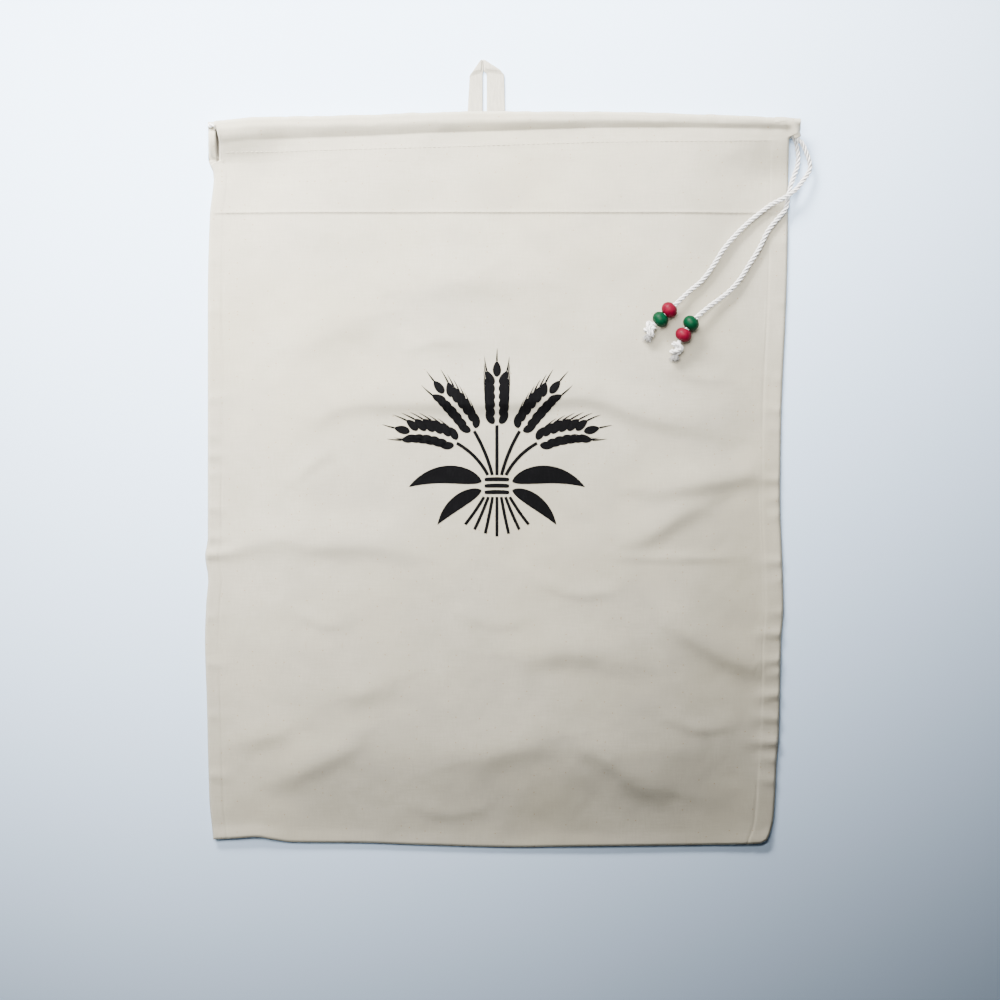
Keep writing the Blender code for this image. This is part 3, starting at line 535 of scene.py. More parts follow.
def inside_front(x, y):
    """Height of the front's inner face."""
    rise = dome(x, y)
    height = SEAM_INSIDE + (INSIDE_HEIGHT - SEAM_INSIDE) * rise
    return height + mouth_lift(x) * near_mouth(x, y) * rise


def inside_back(x, y):
    """Height of the back's inner face, up to the back roll."""
    below = along(x, CASING_LINE) - y
    held = smooth_step((x - ROLL_LEFT_X - 1.5) / 10.0) * smooth_step((ELBOW_START_X - x) / 10.0)
    wedge = BACK_ROLL_Z + BACK_ROLL_RADIUS - BACK_WALL - 0.3
    return BACK_WALL + underside_lift(x, y) + wedge * held * shoulder(below, *BACK_SHOULDER)


def bottom_hang(x, y):
    """How far the bottom fold stands off the surface."""
    return along(x, BOTTOM_LIFT) * (1 - smooth_step((y - along(x, BOTTOM_EDGE)) / BOTTOM_LIFT_REACH))


def crowded(length, count, centres, width, strength):
    """Stops from 0 to 'length', closer together around each centre."""
    fine = np.linspace(0.0, length, 4000)
    density = np.ones_like(fine)
    for centre in centres:
        density += strength * np.exp(-(((fine - centre) / width) ** 2))
    filled = np.concatenate(([0.0], np.cumsum(0.5 * (density[1:] + density[:-1]))))
    return np.interp(np.linspace(0.0, filled[-1], count + 1), filled, fine)


def grid_faces(indices, close_rows=False, close_columns=False):
    """Quads of a grid of vertex indices, closed round either way if asked."""
    if close_rows:
        indices = np.vstack((indices, indices[:1]))
    if close_columns:
        indices = np.hstack((indices, indices[:, :1]))
    corners = (indices[:-1, :-1], indices[:-1, 1:], indices[1:, 1:], indices[1:, :-1])
    return np.stack(corners, axis=-1).reshape(-1, 4)


def zip_faces(fine, coarse):
    """Triangles that join an edge to one with a third of its steps."""
    fans = []
    for part in range(3):
        fans.append(np.column_stack((coarse[:-1], fine[part:-1:3], fine[part + 1::3])))
    fans.append(np.column_stack((coarse[:-1], fine[3::3], coarse[1:])))
    return np.vstack(fans)


def joined(parts):
    """One mesh of several, each given as its points, its faces and its thread map."""
    starts = np.cumsum([0] + [len(points) for points, _, _ in parts])
    faces = [[index + start for index in face] for (_, part, _), start in zip(parts, starts) for face in part]
    return np.vstack([part[0] for part in parts]), faces, np.vstack([part[2] for part in parts])


def new_piece(name, points, faces, finish, uv=None, recalculate=False, smooth=True):
    """A mesh object from points in millimetres and faces, riding on the bag."""
    mesh = bpy.data.meshes.new(name)
    places = ((np.asarray(points) + FRAME_SHIFT) * MM).tolist()
    mesh.from_pydata(places, [], [tuple(map(int, face)) for face in faces])
    if uv is not None:
        layer = mesh.uv_layers.new(name="thread")
        corner = np.empty(len(mesh.loops), int)
        mesh.loops.foreach_get("vertex_index", corner)
        layer.data.foreach_set("uv", (np.asarray(uv)[corner] * MM).ravel())
    if recalculate:
        shape = bmesh.new()
        shape.from_mesh(mesh)
        bmesh.ops.recalc_face_normals(shape, faces=shape.faces[:])
        shape.to_mesh(mesh)
        shape.free()
    mesh.polygons.foreach_set("use_smooth", np.full(len(mesh.polygons), smooth))
    mesh.materials.append(finish)
    piece = bpy.data.objects.new(name, mesh)
    bpy.context.scene.collection.objects.link(piece)
    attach(piece, "root")
    return piece


def travelling_frame(line):
    """Two unit vectors across a line at each of its points, which never twist round it."""
    ahead = unit(np.gradient(line, axis=0))
    side = np.empty_like(line)
    steep = abs(ahead[0, 2]) >= 0.9
    side[0] = unit(np.cross(ahead[0], (1.0, 0.0, 0.0) if steep else (0.0, 0.0, 1.0)))
    for index in range(1, len(line)):
        side[index] = unit(side[index - 1] - ahead[index] * np.dot(side[index - 1], ahead[index]))
    return side, np.cross(ahead, side)


def swept(line, radii, turns, sides):
    """Points round a line: ring k has radius radii[k, :] and is turned by turns[k]."""
    side, up = travelling_frame(line)
    angles = (full_turn(sides) + turns[:, None])[..., None]
    return line[:, None] + radii[..., None] * (np.cos(angles) * side[:, None] + np.sin(angles) * up[:, None])


def capped_tube(rings):
    """Vertices and faces of a tube of rings, closed by a pole at each end."""
    count, sides = rings.shape[:2]
    indices = np.arange(count * sides).reshape(count, sides)
    faces = grid_faces(indices, close_columns=True).tolist()
    first, last = count * sides, count * sides + 1
    for ring, after, pole in ((np.roll(indices[0], -1), indices[0], first),
                              (indices[-1], np.roll(indices[-1], -1), last)):
        faces += np.column_stack((np.full(sides, pole), ring, after)).tolist()
    points = np.vstack((rings.reshape(-1, 3), rings[0].mean(axis=0), rings[-1].mean(axis=0)))
    return points, faces


def rope(line, diameter, pitch, sides=24):
    """A cord of three strands: a three-lobed section that turns once in each pitch along its line.

    The reach at angle a is that of the farthest of three touching circles, so the grooves between
    the strands are sharp and the strands round.
    """
    travel = travelled(line)
    angles = full_turn(sides)
    strand = 0.5 * diameter / (1 + 2 / math.sqrt(3))
    centre = 2 * strand / math.sqrt(3)
    off = (angles + math.pi / 3) % (2 * math.pi / 3) - math.pi / 3
    reach = centre * np.cos(off) + np.sqrt(np.maximum(strand**2 - (centre * np.sin(off)) ** 2, 0.0))
    radii = np.tile(reach, (len(line), 1))
    radii *= 1 + 0.03 * np.sin(travel * 1.7)[:, None]
    rings = swept(line, radii, travel * 2 * math.pi / pitch, sides)
    points, faces = capped_tube(rings)
    u = np.tile(angles * 0.5 * diameter, (len(line), 1))
    v = np.tile(travel[:, None], (1, sides))
    uv = np.vstack((np.column_stack((u.ravel(), v.ravel())), (0, 0), (0, travel[-1])))
    return points, faces, uv


def front_route(spacing=1.5):
    """Centre of the front casing and its cord, from the elbow's mouth to the roll's left end."""
    x = np.linspace(ELBOW_START_X, ROLL_LEFT_X, 120)
    z = INSIDE_HEIGHT - ROLL_SINK + ROLL_RADIUS + mouth_lift(x)
    straight = np.column_stack((x, along(x, CASING_LINE), z))
    elbow = smooth_line(np.vstack((straight[:1], UPPER_ELBOW)), spacing)
    return np.vstack((elbow[::-1], straight[1:]))


def back_route(spacing=1.5):
    """Centre of the back casing and its cord, from the roll's left end to the elbow's mouth."""
    x = np.linspace(ROLL_LEFT_X, ELBOW_START_X, 120)
    straight = np.column_stack((x, along(x, CASING_LINE), BACK_ROLL_Z + loop_lift(x)))
    elbow = smooth_line(np.vstack((straight[-1:], LOWER_ELBOW)), spacing)
    return np.vstack((straight[:-1], elbow))


def corner_turn(front, back):
    """The cord's half turn round the left corner, from the front casing's end to the back one's."""
    radius = 0.5 * (front[2] - back[2])
    angles = np.linspace(0.0, math.pi, 17)[1:-1]
    x = front[0] - TURN_REACH * np.sin(angles)
    z = 0.5 * (front[2] + back[2]) + radius * np.cos(angles)
    y = np.linspace(front[1], back[1], 17)[1:-1]
    return np.column_stack((x, y, z))


def tail_route(name):
    """Points of one free end, from its casing's mouth to its knot."""
    start, before = front_route()[:2] if name == "upper" else back_route()[-1:-3:-1]
    onward = start + unit(start - before) * TAIL_LEAD
    last, middle = np.array(TAILS[name][-1]), np.array(KNOTS[name][0])
    return np.vstack((start, onward, TAILS[name], middle + unit(last - middle) * KNOT_BACK))


def shaded(colour, factor):
    """A colour times one factor, or times one for each channel, at most 1."""
    return tuple(np.minimum(np.multiply(colour, factor), 1.0).tolist())


class Wire:
    """A number coming out of a node: Python's arithmetic on it adds Math nodes."""

    def __init__(self, finish, socket):
        self.finish = finish
        self.socket = socket

    def math(self, operation, *others):
        return self.finish.node("ShaderNodeMath", {"operation": operation}, self, *others)

    def __add__(self, other):
        return self.math("ADD", other)

    def __sub__(self, other):
        return self.math("SUBTRACT", other)

    def __rsub__(self, other):
        return self.finish.node("ShaderNodeMath", {"operation": "SUBTRACT"}, other, self)

    def __mul__(self, other):
        return self.math("MULTIPLY", other)

    def __abs__(self):
        return self.math("ABSOLUTE")

    def sine(self):
        return self.math("SINE")

    def between(self, low, high):
        """0 below 'low', 1 above 'high', softly between."""
        return self.finish.node(
            "ShaderNodeMapRange", {"interpolation_type": "SMOOTHSTEP"}, self, low, high, 0.0, 1.0)


class Finish:
    """A material built from node calls, around one Principled shader."""

    def __init__(self, name, roughness, **constants):
        self.material = bpy.data.materials.new(name)
        self.material.use_nodes = True
        self.tree = self.material.node_tree
        self.shader = self.tree.nodes["Principled BSDF"]
        self.shader.inputs["Roughness"].default_value = roughness
        for socket, value in constants.items():
            self.shader.inputs[socket.replace("_", " ")].default_value = value

    def node(self, kind, settings=None, *values, out=0, **named):
        """A node of a kind: its settings first, then its inputs in order and by name; gives one output."""
        made = self.tree.nodes.new(kind)
        for name, value in (settings or {}).items():
            setattr(made, name, value)
        for socket, value in list(zip(made.inputs, values)) + [(made.inputs[key.replace("_", " ")], value)
                                                               for key, value in named.items()]:
            if isinstance(value, Wire):
                self.tree.links.new(value.socket, socket)
            else:
                socket.default_value = value
        return Wire(self, made.outputs[out])

    def mix(self, factor, first, second):
        """One colour blended into another."""
        made = self.tree.nodes.new("ShaderNodeMix")
        made.data_type = "RGBA"
        for socket, value in ((made.inputs[0], factor), (made.inputs[6], first), (made.inputs[7], second)):
            if isinstance(value, Wire):
                self.tree.links.new(value.socket, socket)
            else:
                socket.default_value = value if isinstance(value, float) else (*value[:3], 1.0)
        return Wire(self, made.outputs[2])

    def thread_map(self):
        """The piece's own map along its threads, in metres: across and along."""
        uv = self.node("ShaderNodeUVMap", {"uv_map": "thread"})
        return uv, self.split(uv, 0), self.split(uv, 1)

    def split(self, vector, axis):
        """One component of a vector."""
        made = self.tree.nodes.new("ShaderNodeSeparateXYZ")
        self.tree.links.new(vector.socket, made.inputs[0])
        return Wire(self, made.outputs[axis])

    def place(self):
        """Object coordinates."""
        return self.node("ShaderNodeTexCoord", None, out=3)

    def noise(self, vector, scale, detail=2.0, stretch=(1.0, 1.0, 1.0)):
        """Soft noise from 0 to 1, stretched along the axes if asked."""
        moved = self.node("ShaderNodeMapping", {"vector_type": "POINT"}, vector, Scale=stretch)
        return self.node("ShaderNodeTexNoise", None, moved, Scale=scale, Detail=detail)

    def weave(self, across, along_it, pitch):
        """Plain weave: each yarn is a rounded ridge that goes over and under the yarns across it."""
        first = (across * (math.pi / pitch)).sine()
        second = (along_it * (math.pi / pitch)).sine()
        over = (first * second * 3.0).between(-1.0, 1.0)
        return abs(first) * over + abs(second) * (1.0 - over)

    def paint(self, colour, roughness=None, height=None, distance=0.0001, strength=1.0):
        """Send the finished colour, roughness and bump to the shader."""
        self.tree.links.new(colour.socket, self.shader.inputs["Base Color"])
        if roughness is not None:
            self.tree.links.new(roughness.socket, self.shader.inputs["Roughness"])
        if height is not None:
            bump = self.node("ShaderNodeBump", None, Strength=strength, Distance=distance, Height=height)
            self.tree.links.new(bump.socket, self.shader.inputs["Normal"])
        return self.material


def cotton_finish(name, colour):
    """Unbleached plain-weave cotton: uneven yarns, slubs, a soft mottle and small brown seed flecks."""
    setup = bpy.context.scene.bread_bag_cloth
    finish = Finish(name, 0.92, Sheen_Weight=0.12, Sheen_Roughness=0.5)
    uv, across, along_it = finish.thread_map()
    warp = finish.noise(uv, 900.0, 3.0, (1.0, 0.14, 1.0))
    weft = finish.noise(uv, 900.0, 3.0, (0.10, 1.0, 1.0))
    mottle = finish.noise(uv, 42.0, 4.0)
    patch = finish.noise(uv, 9.0, 2.0)
    yarns = (warp + weft) * 0.5
    body = finish.mix(yarns.between(0.34, 0.66), shaded(colour, (0.94, 0.935, 0.92)), shaded(colour, 1.03))
    body = finish.mix(mottle.between(0.35, 0.7) * 0.6, body, shaded(colour, 0.89))
    body = finish.mix(patch.between(0.4, 0.7) * 0.40, body, shaded(colour, (0.98, 0.95, 0.85)))
    cells, chance = [
        finish.node("ShaderNodeTexVoronoi", {"voronoi_dimensions": "2D"}, Vector=uv, Scale=210.0, out=out)
        for out in (0, 1)]
    speck = (1.0 - cells.between(0.03, 0.11)) * finish.split(chance, 0).between(0.87, 0.90)
    body = finish.mix(speck * 0.8, body, setup.seed_colour)
    streak = finish.noise(uv, 330.0, 2.0, (1.0, 0.25, 1.0)).between(0.70, 0.78)
    body = finish.mix(streak * 0.22, body, setup.seed_colour)
    # The inner back is in shade beside the slit, from its left end inwards and darker towards the mouth
    place = finish.place()
    inside = (along_it * -1.0).between(0.6, 0.7) * finish.split(place, 0).between(-0.1752, -0.1740)
    shade = inside * (finish.split(place, 1).between(0.165, 0.196) * 0.6 + 0.35)
    body = finish.mix(shade, body, INSIDE_SHADE)
    height = finish.weave(across, along_it, setup.yarn_pitch) * 0.6 + yarns * 1.1 + mottle * 0.5
    return finish.paint(body, height=height, distance=0.00012, strength=0.6)


def cord_finish(colour):
    """Soft white cotton cord: fine fibres along its strands, and painted shade in the grooves between them."""
    finish = Finish("white_cotton_cord", 0.85, Sheen_Weight=0.2, Sheen_Roughness=0.5)
    uv, across, _ = finish.thread_map()
    fibres = finish.noise(uv, 1500.0, 3.0, (1.0, 0.2, 1.0))
    mottle = finish.noise(finish.place(), 260.0, 2.0)
    # Painted shade: the grooves between the strands are darkened towards a third of the cord's colour.
    groove_shade = (across * 2000.0 - math.pi / 2).sine().between(-0.2, 1.0)
    body = finish.mix(fibres.between(0.3, 0.7), shaded(colour, 0.88), colour)
    body = finish.mix(groove_shade * 0.9, body, shaded(colour, 0.33))
    body = finish.mix(mottle.between(0.45, 0.75) * 0.25, body, shaded(colour, (0.93, 0.92, 0.9)))
    return finish.paint(body, height=fibres + mottle * 0.5, distance=0.0001, strength=0.8)


def bead_finish(name, colour):
    """Glossy paint on turned wood: a slightly uneven coat with faint rings."""
    finish = Finish(name, 0.5, Coat_Weight=0.02, Coat_Roughness=0.25, Specular_IOR_Level=0.09)
    place = finish.place()
    coat = finish.noise(place, 420.0, 3.0)
    grain = finish.noise(place, 900.0, 2.0, (1.0, 0.3, 1.0))
    body = finish.mix(coat.between(0.3, 0.75), shaded(colour, 0.72), colour)
    rough = coat.between(0.2, 0.8) * 0.14 + 0.42
    return finish.paint(body, rough, coat * 0.6 + grain * 0.4, distance=0.00005, strength=0.5)


def ink_finish(colour):
    """Black printing ink soaked into the cotton: the weave shows through and a few yarns stay greyer."""
    setup = bpy.context.scene.bread_bag_cloth
    finish = Finish("printing_ink", 0.8, Specular_IOR_Level=0.05)
    uv, across, along_it = finish.thread_map()
    worn = finish.noise(uv, 700.0, 3.0, (1.0, 0.2, 1.0))
    patch = finish.noise(uv, 60.0, 2.0)
    body = finish.mix(worn.between(0.5, 0.8) * 0.5, colour, tuple(c * 2.0 + 0.001 for c in colour))
    rough = patch * 0.2 + 0.7
    height = finish.weave(across, along_it, setup.yarn_pitch)
    return finish.paint(body, rough, height, distance=0.00012, strength=0.7)


def tape_finish(colour):
    """Cotton tape woven in a herringbone."""
    finish = Finish("cotton_tape", 0.9, Sheen_Weight=0.15)
    uv, across, along_it = finish.thread_map()
    zigzag = abs((across * (math.pi / 0.0045)).sine()) * 0.0016
    ribs = ((along_it + zigzag) * (2 * math.pi / 0.0009)).sine()
    fibres = finish.noise(uv, 900.0, 3.0, (1.0, 0.15, 1.0))
    body = finish.mix(fibres.between(0.35, 0.65), shaded(colour, 0.86), colour)
    body = finish.mix(ribs.between(0.2, 1.0) * 0.16, body, shaded(colour, 0.78))
    return finish.paint(body, height=ribs * 0.4 + fibres, distance=0.00012, strength=0.8)


class BreadBagCloth(bpy.types.PropertyGroup):
    """Sizes and colours of the cloth, its print and its tape."""

    cloth_colour: FloatVectorProperty(
        name="Cloth", description="Unbleached cotton", subtype="COLOR", size=3, default=(0.435, 0.405, 0.327),
        min=0, max=1)
    seed_colour: FloatVectorProperty(
        name="Seed flecks", description="Bits of husk in the yarn", subtype="COLOR", size=3,
        default=(0.30, 0.19, 0.10), min=0, max=1)
    tape_colour: FloatVectorProperty(
        name="Tape", description="The hanging loop's tape", subtype="COLOR", size=3,
        default=(0.44, 0.412, 0.342), min=0, max=1)
    ink_colour: FloatVectorProperty(
        name="Ink", description="The printed sheaf", subtype="COLOR", size=3, default=(0.0025, 0.0025, 0.003),
        min=0, max=1)
    yarn_pitch: FloatProperty(
        name="Yarn pitch", description="Distance from one yarn to the next", default=0.00055, min=0.0002,
        max=0.002, unit="LENGTH", precision=5)
    fold_strength: FloatProperty(
        name="Folds", description="How strong the large folds are", default=1.6, min=0, max=3, subtype="FACTOR")
    crease_strength: FloatProperty(
        name="Creases", description="How strong the small creases are", default=1.6, min=0, max=3,
        subtype="FACTOR")


class BreadBagCord(bpy.types.PropertyGroup):
    """Sizes and colours of the cord and its beads."""

    cord_colour: FloatVectorProperty(
        name="Cord", description="White cotton cord", subtype="COLOR", size=3, default=(0.86, 0.85, 0.84),
        min=0, max=1)
    strand_pitch: FloatProperty(
        name="Strand pitch", description="Length of cord in which a strand goes once round", default=0.0093,
        min=0.003, max=0.03, unit="LENGTH", precision=4)
    red: FloatVectorProperty(
        name="Red", description="Red beads", subtype="COLOR", size=3, default=(0.145, 0.002, 0.017),
        min=0, max=1)
    green: FloatVectorProperty(
        name="Green", description="Green beads", subtype="COLOR", size=3, default=(0.0004, 0.043, 0.016),
        min=0, max=1)
    bead_length: FloatProperty(
        name="Bead length", description="Length of a bead along the cord", default=0.0079, min=0.004, max=0.02,
        unit="LENGTH", precision=4)
    bead_diameter: FloatProperty(
        name="Bead diameter", description="Diameter of a bead", default=0.0102, min=0.006, max=0.03,
        unit="LENGTH", precision=4)


class BreadBagStage(bpy.types.PropertyGroup):
    """Camera, lights and the surface."""

    camera_height: FloatProperty(
        name="Camera height", description="Height of the camera above the surface", default=3.0, min=0.5, max=5,
        unit="LENGTH")
    key_power: FloatProperty(
        name="Window light", description="Power of the soft light beyond the mouth", default=7.2, min=0,
        max=200, unit="POWER")
    fill_power: FloatProperty(
        name="Soft panel", description="Power of the broad panel above the mouth", default=9.2, min=0, max=200,
        unit="POWER")
    sky_strength: FloatProperty(
        name="Room light", description="Strength of the light from all round", default=0.04, min=0, max=5)
    floor_colour: FloatVectorProperty(
        name="Surface", description="The pale surface below the bag", subtype="COLOR", size=3,
        default=(0.615, 0.775, 1.0), min=0, max=1)


class BREADBAG_OT_stage(bpy.types.Operator):
    """Set up the camera straight above the bag, the soft lights and the pale surface"""

    bl_idname = "breadbag.stage"
    bl_label = "Camera, lights and surface"

    def execute(self, context):
        setup = context.scene.bread_bag_stage
        middle = (np.array((*VIEW_CENTRE, 0.0)) + FRAME_SHIFT) * MM
        camera = bpy.data.cameras.new("camera")
        camera.sensor_width = SENSOR_WIDTH
        camera.lens = SENSOR_WIDTH * setup.camera_height / (VIEW_WIDTH * MM)
        eye = bpy.data.objects.new("camera", camera)
        eye.location = (middle[0], middle[1], setup.camera_height)
        context.scene.collection.objects.link(eye)
        context.scene.camera = eye
        for lamp, power in zip(LAMPS, (setup.key_power, setup.fill_power)):
            self.lamp(power, *lamp)
        world = bpy.data.worlds.new("room_light")
        world.use_nodes = True
        sky = world.node_tree.nodes["Background"]
        sky.inputs["Color"].default_value = (*SKY_COLOUR, 1.0)
        sky.inputs["Strength"].default_value = setup.sky_strength
        context.scene.world = world
        finish = Finish("pale_surface", 0.7)
        speckle = finish.noise(finish.place(), 6.0, 3.0)
        colour = tuple(setup.floor_colour)
        finish.paint(finish.mix(speckle.between(0.3, 0.7), shaded(colour, 0.985), colour))
        corners = [(x * FLOOR_HALF, y * FLOOR_HALF, FLOOR_Z) for x, y in ((-1, -1), (1, -1), (1, 1), (-1, 1))]
        mesh = bpy.data.meshes.new("surface")
        mesh.from_pydata(corners, [], [(0, 1, 2, 3)])
        mesh.materials.append(finish.material)
        floor = bpy.data.objects.new("surface", mesh)
        context.scene.collection.objects.link(floor)
        return {"FINISHED"}

    def lamp(self, power, name, place, target, size, spread):
        """A soft panel of light that looks at a point and fades away from it."""
        light = bpy.data.lights.new(name, "AREA")
        light.shape = "RECTANGLE"
        light.size, light.size_y = size
        light.spread = math.radians(spread)
        light.energy = power
        light.color = LAMP_COLOUR
        thing = bpy.data.objects.new(name, light)
        thing.location = place
        thing.rotation_euler = (Vector(target) - Vector(place)).to_track_quat("-Z", "Y").to_euler()
        bpy.context.scene.collection.objects.link(thing)


class BREADBAG_OT_cord(bpy.types.Operator):
    """Build the drawcord's free ends and its stretch inside the casings"""

    bl_idname = "breadbag.cord"
    bl_label = "Drawcord"

    def execute(self, context):
        setup = context.scene.bread_bag_cord
        finish = cord_finish(tuple(setup.cord_colour))
        pitch = setup.strand_pitch / MM
        knots = {name: self.knot(name, finish) for name in TAILS}
        for name in TAILS:
            route = tail_route(name)
            points, faces, uv = rope(smooth_line(route, ROPE_STEP), CORD_DIAMETER, pitch)
            piece = new_piece(f"cord_end_{name}", points, faces, finish, uv)
            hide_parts(f"cord_tail_{name}")
            path = (smooth_line(route, 4.0) + FRAME_SHIFT) * MM
            beads = [self.bead(*bead, route) for bead in BEADS if bead[0] == name]
        front, back = front_route(), back_route()
        held = smooth_line(np.vstack((front, corner_turn(front[-1], back[0]), back)), 1.1)[1:-1]
        points, faces, uv = rope(held, CORD_DIAMETER, pitch, sides=15)
        piece = new_piece("cord_in_casing", points, faces, finish, uv)
        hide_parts("drawcord_held")
        return {"FINISHED"}

    def bead(self, end, place, colour, route):
        """A round bead: a rounded profile with a countersunk bore, turned about the cord."""
        setup = bpy.context.scene.bread_bag_cord
        half, radius = 0.5 * setup.bead_length / MM, 0.5 * setup.bead_diameter / MM
        angles = np.linspace(-BEAD_ARC, BEAD_ARC, 25)
        outer_r = radius * np.cos(angles)
        outer_h = half * np.sin(angles) / math.sin(BEAD_ARC)
        rim_r, rim_h = np.array(BEAD_RIM).T
        reach = np.concatenate((outer_r, rim_r, rim_r[::-1]))
        lift = np.concatenate((outer_h, rim_h * half, -rim_h[::-1] * half))
        line = smooth_line(route, 0.5)
        nearest = int(np.argmin(np.linalg.norm(line - np.array(place), axis=1)))
        ahead = unit(np.gradient(line, axis=0)[nearest])
        side, up = level_frame(ahead)
        turn = full_turn(BEAD_SIDES)[:, None, None]
        points = np.array(place) + reach[None, :, None] * (np.cos(turn) * side + np.sin(turn) * up)
        points = points + lift[None, :, None] * ahead
        indices = np.arange(BEAD_SIDES * len(reach)).reshape(BEAD_SIDES, len(reach))
        faces = grid_faces(indices, close_rows=True, close_columns=True)
        finish = bpy.data.materials.get(f"{colour}_bead_paint")
        finish = finish or bead_finish(f"{colour}_bead_paint", tuple(getattr(setup, colour)))
        piece = new_piece(f"painted_bead_{colour}_{end}", points.reshape(-1, 3), faces, finish,
                          recalculate=True)
        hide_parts(f"bead_{colour}_{end}")
        return piece

    def knot(self, name, finish):
        """An overhand knot of the cord with a frayed tip.

        The cord's line runs along the knot's axis, winds back round itself and crosses over its own turns;
        the tip is a brush of thin fibres that spread and droop.
        """
        setup = bpy.context.scene.bread_bag_cord
        place, heading, turn, seed = KNOTS[name]
        ahead = unit(np.array(heading))
        side, up = level_frame(ahead)
        angle, swing, travel = np.array(KNOT_WINDING).T
        angle = np.radians(angle) + turn
        line = np.array(place) + travel[:, None] * ahead
        line = line + swing[:, None] * (np.cos(angle)[:, None] * side + np.sin(angle)[:, None] * up)
        line[0] = tail_route(name)[-1]
        line = smooth_line(line, ROPE_STEP)
        points, faces, uv = rope(line, CORD_DIAMETER * 0.95, setup.strand_pitch / MM)
        # The knot's map is flattened to one place across the cord, where the painted groove shade is nil.
        parts = [(points, faces, uv * (0.0, 1.0))]
        random = np.random.default_rng(seed)
        base = line[-1]
        for _ in range(KNOT_FIBRES):
            spread, round_it = 3.0 * math.sqrt(random.uniform()), random.uniform(0, 2 * math.pi)
            length = random.uniform(3.0, 4.8)
            across = math.cos(round_it) * side + math.sin(round_it) * up
            s = np.linspace(0.0, 1.0, 7)[:, None]
            bend = random.normal(0, 0.6, 3)
            fibre = base + across * spread * (0.4 + 0.6 * s) + ahead * (length * s - 0.6) + bend * s * s
            fibre[:, 2] = np.maximum(fibre[:, 2] - s[:, 0] ** 2, FIBRE_FLOOR)
            radii = np.repeat(FIBRE_RADIUS * (1 - 0.55 * s), 5, axis=1)
            points, faces = capped_tube(swept(fibre, radii, np.zeros(7), 5))
            # Each fibre's map sits at one place across the cord, where the painted groove shade darkens the
            # whole fibre to grey.
            parts.append((points, faces, np.column_stack((0 * points[:, 0] + 1.3, points[:, 1]))))
        points, faces, uv = joined(parts)
        piece = new_piece(f"frayed_knot_{name}", points, faces, finish, uv)
        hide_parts(f"knot_{name}")
        return piece


